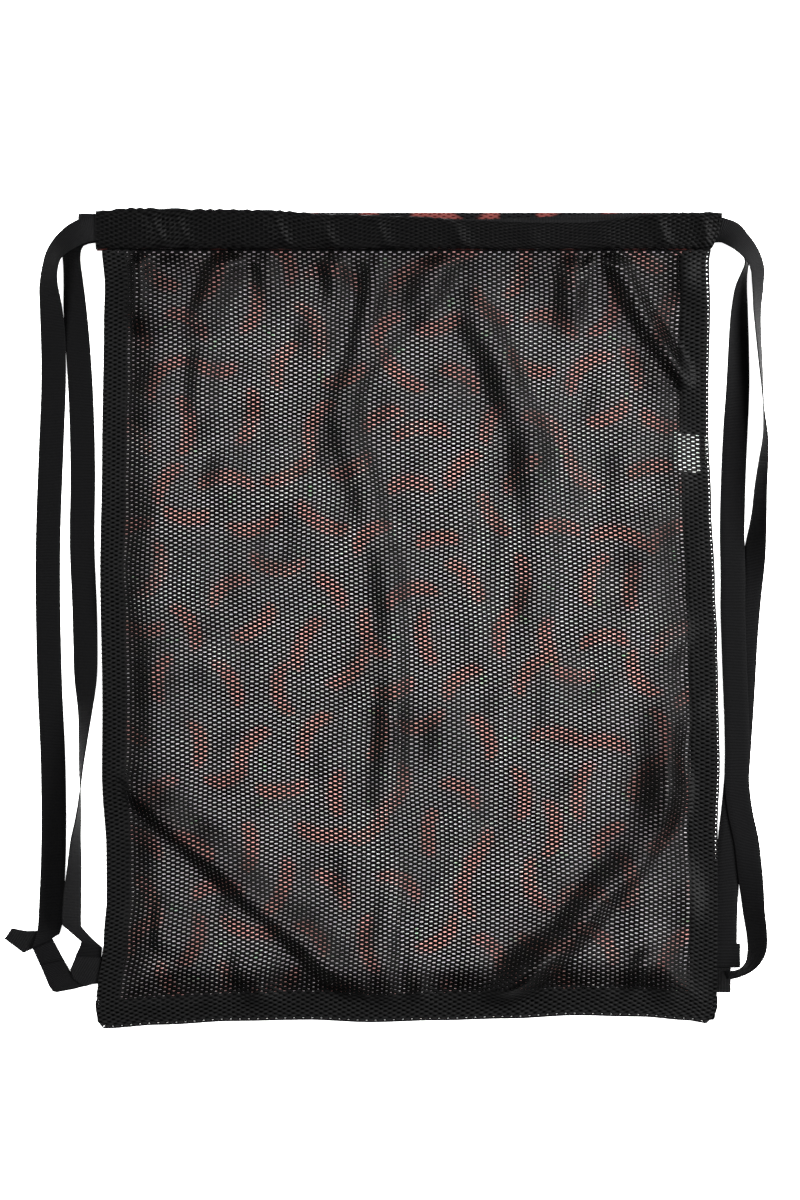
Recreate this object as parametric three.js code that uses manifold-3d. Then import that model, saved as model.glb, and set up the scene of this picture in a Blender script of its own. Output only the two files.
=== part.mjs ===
// Mesh swim bag lying flat: two mesh panels, two strap casings, two webbing straps, tabs and a label.
// Millimetres, +Z up from the floor, +Y towards the mouth, origin under the middle of the back panel.

import * as THREE from 'three';
import { mergeVertices } from 'three/addons/utils/BufferGeometryUtils.js';
import Module from 'manifold-3d';

// Driving dimensions
const CLOTH = 1.0;
const WEBBING = 1.0;
const WEBBING_WIDTH = 20;
const GAP = 0.3;
const MOUTH_GAP = 7;
const CASING_BOTTOM_Y = 294.5;
const CASING_END_X = 251;
const BACK_CASING_TOP_Y = 325.5;
const BAG_ROOM = 9.2;
const SEAM_RISE = 28;
const LABEL = 0.8;
const PANEL_COLUMNS = 36;
const PANEL_ROWS = 42;
const PANEL_BOTTOM_Y = -325;
const CASING_RISE = 70;
const SEAM_FLAT = 18;
const FOLD_FADE = { seamFrom: 6, seamTo: 34, casing: 14 };
const FOLD_POINTS = 24;
const SLOPE_STEP = 2;
const STEEPEST = 1;
const FRONT_CASING_STATIONS = 26;
const BACK_CASING_STATIONS = 8;
const TURN_ANGLES = [240, 210, 180, 150, 120];
const WELD = 1e-4;

// Heights of the layers, from the floor up
const HEM_Z = CLOTH + GAP;
const LABEL_Z = HEM_Z + CLOTH + GAP;
const SEAM_Z = LABEL_Z + LABEL + GAP;
const INSIDE_Z = CLOTH + BAG_ROOM;
const CHANNEL = 2 * WEBBING + 3 * GAP;
const CASING_HEIGHT = CHANNEL + 2 * CLOTH;
const FRONT_CASING_Z = CASING_HEIGHT + MOUTH_GAP;
const PANEL_TOP_Z = FRONT_CASING_Z + (CASING_HEIGHT - CLOTH) / 2;
const LOWER_LAYER = CLOTH + GAP;
const UPPER_LAYER = LOWER_LAYER + WEBBING + GAP;
const PANEL_TOP_Y = CASING_BOTTOM_Y - GAP;

// Outline of the bag, read from the cloth's edges: x of the sides at a height y, y of the ends at x
const LEFT_EDGE = [
  { y: -330, x: -245 }, { y: -323, x: -250 }, { y: -308, x: -252 }, { y: -292, x: -250.5 },
  { y: -260, x: -246 }, { y: -224, x: -243.5 }, { y: -188, x: -243.5 }, { y: -127, x: -247 },
  { y: -75, x: -246.5 }, { y: 34, x: -248.5 }, { y: 126, x: -247 }, { y: 239, x: -245.5 },
  { y: 267, x: -244.5 }, { y: 294, x: -246.5 },
];
const RIGHT_EDGE = [
  { y: -326, x: 239 }, { y: -318, x: 245.5 }, { y: -308, x: 248 }, { y: -244, x: 248.5 },
  { y: -180, x: 248.5 }, { y: -115, x: 250.5 }, { y: -67, x: 249.5 }, { y: -19, x: 248.5 },
  { y: 26, x: 246.5 }, { y: 94, x: 243.5 }, { y: 147, x: 241.5 }, { y: 187, x: 241.5 },
  { y: 247, x: 242.5 }, { y: 286, x: 241 }, { y: 295, x: 242.5 },
];
const BOTTOM_EDGE = [
  { x: -245, y: -330 }, { x: -200, y: -327 }, { x: -140, y: -324 }, { x: -80, y: -323 },
  { x: -31, y: -325 }, { x: 21, y: -323.5 }, { x: 81, y: -322 }, { x: 134, y: -319.5 },
  { x: 186, y: -320.5 }, { x: 226, y: -323.5 }, { x: 239, y: -326 },
];
const FRONT_CASING_TOP = [
  { x: -251, y: 326 }, { x: -221, y: 328.5 }, { x: -160, y: 327.5 }, { x: -120, y: 327 },
  { x: -60, y: 323 }, { x: 1, y: 322.5 }, { x: 49, y: 321.5 }, { x: 101, y: 323.5 },
  { x: 154, y: 326 }, { x: 194, y: 324.5 }, { x: 251, y: 325 },
];

// Folds of the front panel: a ridge from one point to another past a middle point,
// with its half width on either side and its height
const FOLDS = [
  { from: [-217, -154], via: [-132, -224], to: [-46, -299], left: 20, right: 9, height: 9 },
  { from: [212, -67], via: [194, -212], to: [73, -300], left: 15, right: 15, height: 16 },
  { from: [48, 258], via: [110, 175], to: [110, 6], left: 13, right: 13, height: 12 },
  { from: [-30, 286], via: [-73, 183], to: [-17, 14], left: 16, right: 16, height: 7 },
  { from: [-17, 46], via: [-9, -83], to: [-17, -296], left: 13, right: 13, height: 6 },
  { from: [-138, 290], via: [-159, 255], to: [-192, 213], left: 14, right: 14, height: 8 },
  { from: [154, 286], via: [186, 247], to: [204, 203], left: 14, right: 14, height: 10 },
  { from: [35, 289], via: [13, 278], to: [-6, 239], left: 13, right: 13, height: 7 },
  { from: [131, 290], via: [123, 263], to: [122, 223], left: 12, right: 12, height: 6 },
];

// Gathers of the front casing: where the cloth bunches on the straps
const GATHERS = [
  { x: -217, width: 9, height: 1.6 },
  { x: -196, width: 8, height: 1.2 },
  { x: -116, width: 12, height: 1.6 },
  { x: -76, width: 11, height: 1.4 },
  { x: 92, width: 16, height: 1.0 },
  { x: 205, width: 12, height: 1.4 },
];

// Strap runs from the casing down to the tab: place of the middle, roll about the run in degrees,
// height of the underside above the floor
const LEFT_FRONT_RUN = [
  { x: 240, y: 310, roll: 0, under: FRONT_CASING_Z + UPPER_LAYER },
  { x: 49, y: 308.8, roll: 0, under: FRONT_CASING_Z + UPPER_LAYER },
  { x: -120, y: 310, roll: 0, under: FRONT_CASING_Z + UPPER_LAYER },
  { x: -243, y: 311, roll: 0, under: FRONT_CASING_Z + UPPER_LAYER },
  { x: -251, y: 311, roll: 0, under: FRONT_CASING_Z + UPPER_LAYER },
  { x: -257, y: 310.5, roll: 0, under: 14.9 },
  { x: -265, y: 307.5, roll: -8, under: 15.5 },
  { x: -273, y: 302.5, roll: -22, under: 14 },
  { x: -279.5, y: 297, roll: -36, under: 11 },
  { x: -285, y: 290, roll: -46, under: 6 },
  { x: -288, y: 281, roll: -47, under: 1.5 },
  { x: -289.5, y: 269, roll: -40, under: 0 },
  { x: -288, y: 251, roll: -22, under: 0 },
  { x: -286.5, y: 227, roll: -5, under: 0 },
  { x: -286, y: 187, roll: 0, under: 0 },
  { x: -287.5, y: 146, roll: 0, under: 0 },
  { x: -290.5, y: 56, roll: 0, under: 0 },
  { x: -289, y: -55, roll: 0, under: 0 },
  { x: -286.5, y: -115, roll: 0, under: 0 },
  { x: -286, y: -186, roll: 0, under: 0 },
  { x: -287.5, y: -228, roll: 0, under: 0 },
  { x: -289, y: -245, roll: 0, under: 0 },
  { x: -290.6, y: -251, roll: 0, under: 0.2 },
  { x: -293, y: -259, roll: 0, under: 1.3 },
];
const LEFT_BACK_RUN = [
  { x: 240, y: 310, roll: 0, under: LOWER_LAYER },
  { x: -120, y: 310, roll: 0, under: LOWER_LAYER },
  { x: -243, y: 311, roll: 0, under: LOWER_LAYER },
  { x: -251, y: 311, roll: 0, under: LOWER_LAYER },
  { x: -257, y: 310.5, roll: 0, under: 0.9 },
  { x: -263.5, y: 308.5, roll: 0, under: 0.3 },
  { x: -269, y: 303.5, roll: -8, under: 0 },
  { x: -271, y: 297, roll: -36, under: 0 },
  { x: -271, y: 289, roll: -45, under: 0 },
  { x: -270.5, y: 281, roll: -41, under: 0 },
  { x: -269.5, y: 267, roll: -33, under: 0 },
  { x: -268.5, y: 247, roll: -15, under: 0 },
  { x: -266.5, y: 219, roll: -3, under: 0 },
  { x: -264.5, y: 187, roll: 0, under: 0 },
  { x: -262.5, y: 118, roll: 0, under: 0 },
  { x: -263, y: 56, roll: 0, under: 0 },
  { x: -261, y: 6, roll: 0, under: 0 },
];
const LEFT_TWIST_RUN = [
  { x: -261, y: 5.5, roll: 0, under: 0 },
  { x: -260, y: -43, roll: -12, under: 0 },
  { x: -260, y: -75, roll: -52, under: 0 },
  { x: -261.5, y: -99, roll: -66, under: 0 },
  { x: -263, y: -119, roll: -76, under: 0 },
  { x: -264, y: -143, roll: -88, under: 0 },
  { x: -265, y: -157, roll: -95, under: 0 },
  { x: -267.5, y: -180, roll: -110, under: 0 },
  { x: -268, y: -200, roll: -120, under: 0 },
  { x: -269.5, y: -220, roll: -145, under: 0.4 },
  { x: -270.5, y: -238, roll: -178, under: 1.3 },
  { x: -270.5, y: -250, roll: -180, under: 1.3 },
];
const TURN_X = -260;
const TURN_Y = 313.5;
const RIGHT_TURN_END = [
  { x: TURN_X, y: TURN_Y, roll: 0, under: FRONT_CASING_Z + LOWER_LAYER },
  { x: -240, y: 313, roll: 0, under: FRONT_CASING_Z + LOWER_LAYER },
  { x: -230.5, y: 312.8, roll: 0, under: FRONT_CASING_Z + LOWER_LAYER },
];
const RIGHT_FRONT_RUN = [
  { x: -230, y: 312.8, roll: 0, under: FRONT_CASING_Z + LOWER_LAYER },
  { x: -120, y: 310, roll: 0, under: FRONT_CASING_Z + LOWER_LAYER },
  { x: 49, y: 308.8, roll: 0, under: FRONT_CASING_Z + LOWER_LAYER },
  { x: 243, y: 311, roll: 0, under: FRONT_CASING_Z + LOWER_LAYER },
  { x: 252, y: 311, roll: 0, under: FRONT_CASING_Z + LOWER_LAYER },
  { x: 259, y: 308.5, roll: 5, under: 14.5 },
  { x: 266.5, y: 304, roll: 15, under: 17 },
  { x: 273, y: 298, roll: 28, under: 18 },
  { x: 277.5, y: 290.5, roll: 42, under: 12 },
  { x: 280, y: 281, roll: 50, under: 4 },
  { x: 280, y: 267, roll: 58, under: 0 },
  { x: 279.5, y: 247, roll: 68, under: 0 },
  { x: 280.5, y: 227, roll: 73, under: 0 },
  { x: 282, y: 207, roll: 76, under: 0 },
  { x: 283.5, y: 187, roll: 81, under: 0 },
  { x: 285, y: 163, roll: 86, under: 0 },
  { x: 286, y: 146, roll: 95, under: 0 },
  { x: 284.5, y: 126, roll: 107, under: 0 },
  { x: 282.5, y: 106, roll: 114, under: 0 },
  { x: 281, y: 82, roll: 121, under: 0 },
  { x: 278.5, y: 58, roll: 140, under: 0 },
  { x: 275, y: 30, roll: 174, under: 0 },
  { x: 272, y: -2, roll: 180, under: 0 },
  { x: 267.5, y: -75, roll: 180, under: 0 },
  { x: 262.5, y: -143, roll: 180, under: 0 },
  { x: 257.5, y: -190, roll: 180, under: 0 },
  { x: 254.5, y: -236, roll: 180, under: 0 },
  { x: 254, y: -281, roll: 180, under: 0 },
];
const RIGHT_BACK_RUN = [
  { x: TURN_X, y: TURN_Y, roll: 0, under: UPPER_LAYER },
  { x: -240, y: 313, roll: 0, under: UPPER_LAYER },
  { x: -120, y: 310.5, roll: 0, under: UPPER_LAYER },
  { x: 243, y: 311, roll: 0, under: UPPER_LAYER },
  { x: 252, y: 311, roll: 0, under: UPPER_LAYER },
  { x: 260, y: 308.5, roll: 8, under: 1.4 },
  { x: 266.5, y: 302, roll: 38, under: 0.3 },
  { x: 270, y: 293, roll: 68, under: 0 },
  { x: 271, y: 284, roll: 88, under: 0 },
  { x: 269, y: 275, roll: 72, under: 0 },
  { x: 267, y: 266, roll: 58, under: 0 },
  { x: 265.5, y: 247, roll: 43, under: 0 },
  { x: 265, y: 219, roll: 30, under: 0 },
  { x: 264.5, y: 187, roll: 18, under: 0 },
  { x: 262.5, y: 146, roll: 2, under: 0 },
  { x: 261, y: 110, roll: 0, under: 0 },
  { x: 260, y: 62, roll: 0, under: 2.2 },
  { x: 260.5, y: 34, roll: 0, under: 3.6 },
  { x: 260.5, y: 6, roll: 0, under: 1.8 },
  { x: 261.5, y: -27, roll: 0, under: 1.4 },
  { x: 264, y: -107, roll: 0, under: 1.4 },
  { x: 264, y: -135, roll: 0, under: 1.4 },
  { x: 267, y: -159, roll: 0, under: 1.4 },
  { x: 271.5, y: -180, roll: 0, under: 1.4 },
  { x: 274, y: -202, roll: -8, under: 1.5 },
  { x: 275.8, y: -222, roll: -22, under: 1.4 },
  { x: 277, y: -236, roll: -33, under: 0 },
  { x: 279.5, y: -256, roll: -39, under: 0 },
  { x: 279.5, y: -266.5, roll: -43, under: 0 },
  { x: 277.5, y: -274, roll: -52, under: 0 },
  { x: 274.5, y: -279.5, roll: -66, under: 0.6 },
  { x: 269.5, y: -284.5, roll: -86, under: 1.6 },
  { x: 262.5, y: -288, roll: -72, under: 2.7 },
  { x: 253.5, y: -289, roll: -64, under: 2.7 },
];
const STEPS_PER_ROW = 2;

// Flat outlines of the webbing at the lower corners and of the label
const LOWER_STRIP = [
  [-302.5, -265.5], [-287.5, -258.5], [-280.5, -270.5], [-273.5, -283.5], [-265, -281], [-252, -277.5],
  [-252, -294.5], [-258.5, -297], [-265, -298], [-285, -301], [-289, -298.5], [-297, -284], [-305, -268],
];
const UPPER_STRIP = [
  [-277.5, -245.5], [-265, -248], [-257, -255], [-249, -264.5], [-251.5, -276.8], [-264.8, -280.4],
  [-266.5, -273], [-263, -261.5],
];
const TAIL = [
  [-325, -259], [-319.5, -251], [-310, -253], [-302.6, -253], [-300.6, -257], [-295.5, -260],
  [-302, -268], [-310, -269.5],
];
const LEFT_TAB = [
  [-251, -273.5], [-268, -273], [-272.5, -283.5], [-270.5, -290], [-265, -294.5], [-258.5, -296.5],
  [-254.5, -294.5], [-251, -294.5],
];
const LEFT_TAB_FOLD = [[-268, -273], [-271, -279.5], [-270, -280], [-267, -273.5]];
const RIGHT_TAB = { from: [243.3, -302], to: [259, -282.2] };
const TURNBACK = { from: [246.5, -281.8], to: [266.5, -262.5] };
const CARE_LABEL = [[213.5, 149], [239, 145], [239, 114.5], [213.5, 118.5]];
const LEFT_INSET = 1;
const RIGHT_INSET = 5.5;
const EDGE_POINTS = 14;

const BLACK_MESH = { color: 0x17171a, roughness: 0.85, metalness: 0 };
const PRINTED_MESH = { color: 0x3a2626, roughness: 0.85, metalness: 0 };
const BLACK_WEBBING = { color: 0x121214, roughness: 0.7, metalness: 0 };
const WHITE_LABEL = { color: 0xe6e6e3, roughness: 0.7, metalness: 0 };

const wasm = await Module();
wasm.setup();

const part = new THREE.Group();

function addPiece(name, geometry, look) {
  const piece = new THREE.Mesh(geometry, new THREE.MeshStandardMaterial(look));
  piece.name = name;
  part.add(piece);
}

function lerp(a, b, t) {
  return a + (b - a) * t;
}

function smooth(from, to, value) {
  const t = THREE.MathUtils.clamp((value - from) / (to - from), 0, 1);
  return t * t * (3 - 2 * t);
}

// A smooth line through the rows of a table, level beyond its ends
function follow(rows, key, result) {
  return (value) => {
    const last = rows.length - 1;
    if (value <= rows[0][key]) return rows[0][result];
    if (value >= rows[last][key]) return rows[last][result];
    const i = rows.findIndex((row) => row[key] > value) - 1;
    return lerp(rows[i][result], rows[i + 1][result], smooth(rows[i][key], rows[i + 1][key], value));
  };
}

const leftEdge = follow(LEFT_EDGE, 'y', 'x');
const rightEdge = follow(RIGHT_EDGE, 'y', 'x');
const bottomEdge = follow(BOTTOM_EDGE, 'x', 'y');
const frontCasingTop = follow(FRONT_CASING_TOP, 'x', 'y');

// A closed body from points and triangles, turned so that its faces point out
function closedBody(points, triangles) {
  let volume = 0;
  const cross = new THREE.Vector3();
  for (const [a, b, c] of triangles) {
    volume += points[a].dot(cross.crossVectors(points[b], points[c]));
  }
  const faces = volume > 0 ? triangles : triangles.map(([a, b, c]) => [a, c, b]);
  const geometry = new THREE.BufferGeometry();
  const places = points.flatMap((point) => point.toArray());
  geometry.setAttribute('position', new THREE.Float32BufferAttribute(places, 3));
  geometry.setIndex(faces.flat());
  geometry.computeVertexNormals();
  return geometry;
}

// Triangles of the skin between rings of the same number of points
function ringSkin(ringCount, ringSize, start, flip) {
  const triangles = [];
  for (let ring = 0; ring < ringCount - 1; ring++) {
    for (let k = 0; k < ringSize; k++) {
      const a = start + ring * ringSize + k;
      const b = start + ring * ringSize + ((k + 1) % ringSize);
      const c = a + ringSize;
      const d = b + ringSize;
      const faces = [[a, b, d], [a, d, c]];
      triangles.push(...(flip ? faces.map(([p, q, r]) => [p, r, q]) : faces));
    }
  }
  return triangles;
}

// A flat plate of an outline, from a height up
function plate(outline, bottom, thickness) {
  const shape = new THREE.Shape(outline.map(([x, y]) => new THREE.Vector2(x, y)));
  const geometry = new THREE.ExtrudeGeometry(shape, { depth: thickness, bevelEnabled: false });
  geometry.translate(0, 0, bottom);
  return geometry;
}

function rectangle({ from, to }) {
  return [from, [to[0], from[1]], to, [from[0], to[1]]];
}

// One solid of several that overlap, with flat runs of triangles merged
function join(geometries) {
  const solids = geometries.map((source) => {
    const bare = source.clone();
    bare.deleteAttribute('normal');
    bare.deleteAttribute('uv');
    const merged = mergeVertices(bare, WELD);
    const mesh = new wasm.Mesh({
      numProp: 3,
      vertProperties: new Float32Array(merged.attributes.position.array),
      triVerts: new Uint32Array(merged.index.array),
    });
    return new wasm.Manifold(mesh);
  });
  const mesh = solids.reduce((whole, solid) => whole.add(solid)).getMesh();
  const geometry = new THREE.BufferGeometry();
  geometry.setAttribute('position', new THREE.BufferAttribute(new Float32Array(mesh.vertProperties), 3));
  geometry.setIndex(new THREE.BufferAttribute(new Uint32Array(mesh.triVerts), 1));
  geometry.computeVertexNormals();
  return geometry;
}

// Front panel: height of a fold at a place, from the nearest point of its ridge line
const foldLines = FOLDS.map((fold) => {
  const [from, via, to] = [fold.from, fold.via, fold.to].map(([x, y]) => new THREE.Vector2(x, y));
  return { ...fold, points: new THREE.QuadraticBezierCurve(from, via, to).getPoints(FOLD_POINTS) };
});

function foldHeight(fold, place) {
  const count = fold.points.length - 1;
  let nearest = { distance: Infinity, side: 1, along: 0 };
  for (let i = 0; i < count; i++) {
    const run = fold.points[i + 1].clone().sub(fold.points[i]);
    const off = place.clone().sub(fold.points[i]);
    const t = THREE.MathUtils.clamp(off.dot(run) / run.lengthSq(), 0, 1);
    const distance = off.distanceTo(run.clone().multiplyScalar(t));
    if (distance < nearest.distance) nearest = { distance, side: run.cross(off), along: (i + t) / count };
  }
  const width = nearest.side > 0 ? fold.left : fold.right;
  const reach = Math.min(nearest.distance / (2 * width), 1);
  const taper = Math.sqrt(Math.max(Math.sin(Math.PI * nearest.along), 0));
  return fold.height * taper * 0.5 * (1 + Math.cos(Math.PI * reach));
}

function frontUnderside(x, y) {
  const fromSide = Math.min(x - leftEdge(y), rightEdge(y) - x);
  const fromSeam = Math.min(fromSide, y - bottomEdge(x));
  const risen = smooth(SEAM_FLAT, SEAM_FLAT + SEAM_RISE, fromSeam);
  const body = lerp(SEAM_Z, INSIDE_Z, risen);
  const nearCasing = smooth(PANEL_TOP_Y - CASING_RISE, PANEL_TOP_Y, y);
  const place = new THREE.Vector2(x, y);
  const folds = foldLines.reduce((sum, fold) => sum + foldHeight(fold, place), 0);
  const fromCasing = PANEL_TOP_Y - y;
  const freeOfSeam = smooth(FOLD_FADE.seamFrom, FOLD_FADE.seamTo, fromSeam);
  const free = freeOfSeam * smooth(0, FOLD_FADE.casing, fromCasing);
  return lerp(body, PANEL_TOP_Z, nearCasing) + folds * free;
}

function frontPanel() {
  const under = [];
  const over = [];
  for (let j = 0; j <= PANEL_ROWS; j++) {
    for (let i = 0; i <= PANEL_COLUMNS; i++) {
      const level = lerp(PANEL_BOTTOM_Y, PANEL_TOP_Y, j / PANEL_ROWS);
      const x = lerp(leftEdge(level), rightEdge(level), i / PANEL_COLUMNS);
      const y = lerp(bottomEdge(x), PANEL_TOP_Y, j / PANEL_ROWS);
      const z = frontUnderside(x, y);
      const riseX = frontUnderside(x + SLOPE_STEP, y) - frontUnderside(x - SLOPE_STEP, y);
      const riseY = frontUnderside(x, y + SLOPE_STEP) - frontUnderside(x, y - SLOPE_STEP);
      const slope = Math.min(Math.hypot(riseX, riseY) / (2 * SLOPE_STEP), STEEPEST);
      under.push(new THREE.Vector3(x, y, z));
      over.push(new THREE.Vector3(x, y, z + CLOTH * Math.hypot(1, slope)));
    }
  }
  const across = PANEL_COLUMNS + 1;
  const count = across * (PANEL_ROWS + 1);
  const triangles = [];
  for (let j = 0; j < PANEL_ROWS; j++) {
    for (let i = 0; i < PANEL_COLUMNS; i++) {
      const a = j * across + i;
      const b = a + 1;
      const c = a + across;
      const d = c + 1;
      triangles.push([count + a, count + b, count + d], [count + a, count + d, count + c]);
      triangles.push([a, d, b], [a, c, d]);
    }
  }
  const rim = [];
  for (let i = 0; i < PANEL_COLUMNS; i++) rim.push(i);
  for (let j = 0; j < PANEL_ROWS; j++) rim.push(j * across + PANEL_COLUMNS);
  for (let i = PANEL_COLUMNS; i > 0; i--) rim.push(PANEL_ROWS * across + i);
  for (let j = PANEL_ROWS; j > 0; j--) rim.push(j * across);
  rim.forEach((a, k) => {
    const b = rim[(k + 1) % rim.length];
    triangles.push([a, b, count + b], [a, count + b, count + a]);
  });
  return closedBody([...under, ...over], triangles);
}

// Evenly spread points of one edge of the bag, with an inset
function sidePoints(edge, inset, fromY, toY) {
  const points = [];
  for (let k = 0; k <= EDGE_POINTS; k++) {
    const y = lerp(fromY, toY, k / EDGE_POINTS);
    points.push([edge(y) + inset, y]);
  }
  return points;
}

function bottomPoints(fromX, toX, inset) {
  const points = [];
  for (let k = 0; k <= EDGE_POINTS; k++) {
    const x = lerp(fromX, toX, k / EDGE_POINTS);
    points.push([x, bottomEdge(x) + inset]);
  }
  return points;
}

// Back panel: flat on the floor, a little inside the front panel's edge
const BOTTOM_CORNER_Y = -318;
const BACK_BOTTOM_INSET = 1;
const BACK_LEFT_X = -244;
const BACK_RIGHT_X = 236;
addPiece('back_panel', plate([
  ...bottomPoints(BACK_LEFT_X, BACK_RIGHT_X, BACK_BOTTOM_INSET),
  ...sidePoints(rightEdge, -RIGHT_INSET, BOTTOM_CORNER_Y, PANEL_TOP_Y),
  ...sidePoints(leftEdge, LEFT_INSET, PANEL_TOP_Y, BOTTOM_CORNER_Y),
], 0, CLOTH), PRINTED_MESH);

// Hems: seam allowance turned in between the panels
const BOTTOM_HEM_TOP_Y = -304;
const SIDE_HEM_TOP_Y = 288;
const LEFT_HEM_X = -226;
const RIGHT_HEM_X = 220;
addPiece('bottom_hem', plate([
  ...bottomPoints(BACK_LEFT_X, BACK_RIGHT_X, BACK_BOTTOM_INSET),
  [rightEdge(BOTTOM_HEM_TOP_Y) - RIGHT_INSET, BOTTOM_CORNER_Y],
  [rightEdge(BOTTOM_HEM_TOP_Y) - RIGHT_INSET, BOTTOM_HEM_TOP_Y],
  [leftEdge(BOTTOM_HEM_TOP_Y) + LEFT_INSET, BOTTOM_HEM_TOP_Y],
  [leftEdge(BOTTOM_HEM_TOP_Y) + LEFT_INSET, BOTTOM_CORNER_Y],
], HEM_Z, CLOTH), BLACK_MESH);
addPiece('side_hem_left', plate([
  ...sidePoints(leftEdge, LEFT_INSET, BOTTOM_HEM_TOP_Y + GAP, SIDE_HEM_TOP_Y),
  [LEFT_HEM_X, SIDE_HEM_TOP_Y],
  [LEFT_HEM_X, BOTTOM_HEM_TOP_Y + GAP],
], HEM_Z, CLOTH), BLACK_MESH);
addPiece('side_hem_right', plate([
  ...sidePoints(rightEdge, -RIGHT_INSET, BOTTOM_HEM_TOP_Y + GAP, SIDE_HEM_TOP_Y),
  [RIGHT_HEM_X, SIDE_HEM_TOP_Y],
  [RIGHT_HEM_X, BOTTOM_HEM_TOP_Y + GAP],
], HEM_Z, CLOTH), BLACK_MESH);

addPiece('care_label', plate(CARE_LABEL, LABEL_Z, LABEL), WHITE_LABEL);
addPiece('front_panel', frontPanel(), BLACK_MESH);

// Casings: flat tubes whose walls close on the panel below, open at both ends
const SEAM_HALF = 0.7;
const TOP_HALF = 0.9;
const LOWER_SHOULDER = 4;
const UPPER_SHOULDER = 2;
const CHANNEL_LOWER_INSET = 3.2;
const CHANNEL_UPPER_INSET = 1.6;
const CHANNEL_CORNER = 0.2;

function gatherHeight(x) {
  return GATHERS.reduce((sum, { x: middle, width, height }) => {
    return sum + height * Math.exp(-(((x - middle) / width) ** 2));
  }, 0);
}

function casing(bottomZ, topEdge, bunched, stations) {
  const points = [];
  const holePoints = [];
  const middle = bottomZ + CASING_HEIGHT / 2;
  const half = CASING_HEIGHT / 2;
  const channelHalf = CHANNEL / 2;
  for (let k = 0; k < stations; k++) {
    const x = lerp(-CASING_END_X, CASING_END_X, k / (stations - 1));
    const low = CASING_BOTTOM_Y;
    const high = topEdge(x);
    const upper = half + bunched * gatherHeight(x);
    const wall = [
      [low, -SEAM_HALF], [low, SEAM_HALF], [low + LOWER_SHOULDER, upper], [high - UPPER_SHOULDER, upper],
      [high, TOP_HALF], [high, -TOP_HALF], [high - UPPER_SHOULDER, -half], [low + LOWER_SHOULDER, -half],
    ];
    const near = low + CHANNEL_LOWER_INSET;
    const far = high - CHANNEL_UPPER_INSET;
    const slim = channelHalf - CHANNEL_CORNER;
    const [nearTop, farTop] = [near + CHANNEL_CORNER, far - CHANNEL_CORNER];
    const channel = [
      [near, -slim], [near, slim], [nearTop, channelHalf], [farTop, channelHalf],
      [far, slim], [far, -slim], [farTop, -channelHalf], [nearTop, -channelHalf],
    ];
    points.push(...wall.map(([y, z]) => new THREE.Vector3(x, y, middle + z)));
    holePoints.push(...channel.map(([y, z]) => new THREE.Vector3(x, y, middle + z)));
  }
  const ring = points.length / stations;
  const hole = points.length;
  const last = (stations - 1) * ring;
  const triangles = [...ringSkin(stations, ring, 0, false), ...ringSkin(stations, ring, hole, true)];
  for (let k = 0; k < ring; k++) {
    const next = (k + 1) % ring;
    const [outerK, outerNext, innerK, innerNext] = [k, next, hole + k, hole + next];
    triangles.push([outerNext, outerK, innerK], [outerNext, innerK, innerNext]);
    triangles.push([last + outerK, last + outerNext, last + innerK]);
    triangles.push([last + outerNext, last + innerNext, last + innerK]);
  }
  return closedBody([...points, ...holePoints], triangles);
}

addPiece('front_casing', casing(FRONT_CASING_Z, frontCasingTop, 1, FRONT_CASING_STATIONS), BLACK_MESH);
addPiece('back_casing', casing(0, () => BACK_CASING_TOP_Y, 0, BACK_CASING_STATIONS), PRINTED_MESH);

// Straps: flat webbing swept along a run, each station with its middle, its width direction and its face
const UP = new THREE.Vector3(0, 0, 1);

function strapRun(rows) {
  const curve = new THREE.CatmullRomCurve3(
    rows.map(({ x, y, under }) => new THREE.Vector3(x, y, under)), false, 'centripetal');
  const count = (rows.length - 1) * STEPS_PER_ROW;
  const middles = [];
  const rolls = [];
  for (let k = 0; k <= count; k++) {
    const row = Math.min(Math.floor(k / STEPS_PER_ROW), rows.length - 2);
    const degrees = lerp(rows[row].roll, rows[row + 1].roll, k / STEPS_PER_ROW - row);
    const roll = THREE.MathUtils.degToRad(degrees);
    const middle = curve.getPoint(k / count);
    const rest = Math.abs(Math.sin(roll)) * WEBBING_WIDTH / 2 + Math.abs(Math.cos(roll)) * WEBBING / 2;
    middle.z = Math.max(middle.z, 0) + rest;
    middles.push(middle);
    rolls.push(roll);
  }
  return middles.map((middle, k) => {
    const ahead = middles[Math.min(k + 1, count)];
    const behind = middles[Math.max(k - 1, 0)];
    const along = ahead.clone().sub(behind).setZ(0).normalize();
    const level = along.clone().cross(UP);
    const across = level.clone().multiplyScalar(Math.cos(rolls[k])).addScaledVector(UP, Math.sin(rolls[k]));
    const face = UP.clone().multiplyScalar(Math.cos(rolls[k])).addScaledVector(level, -Math.sin(rolls[k]));
    return { middle, across, face };
  });
}

// Both faces are split along the same diagonal, so that a twisted stretch keeps its thickness
function webbing(stations) {
  const section = [[1, 1], [-1, 1], [-1, -1], [1, -1]];
  const points = stations.flatMap(({ middle, across, face }) => section.map(
    ([side, skin]) => middle.clone()
      .addScaledVector(across, side * WEBBING_WIDTH / 2)
      .addScaledVector(face, skin * WEBBING / 2)));
  const triangles = [];
  for (let station = 0; station < stations.length - 1; station++) {
    const [a, b, c, d] = section.map((_, corner) => station * section.length + corner);
    const [e, f, g, h] = [a, b, c, d].map((corner) => corner + section.length);
    triangles.push([a, b, f], [a, f, e]);
    triangles.push([b, c, g], [b, g, f]);
    triangles.push([c, d, g], [d, h, g]);
    triangles.push([d, a, e], [d, e, h]);
  }
  const last = points.length - section.length;
  triangles.push([0, 2, 1], [0, 3, 2], [last, last + 1, last + 2], [last, last + 2, last + 3]);
  return closedBody(points, triangles);
}

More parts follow.
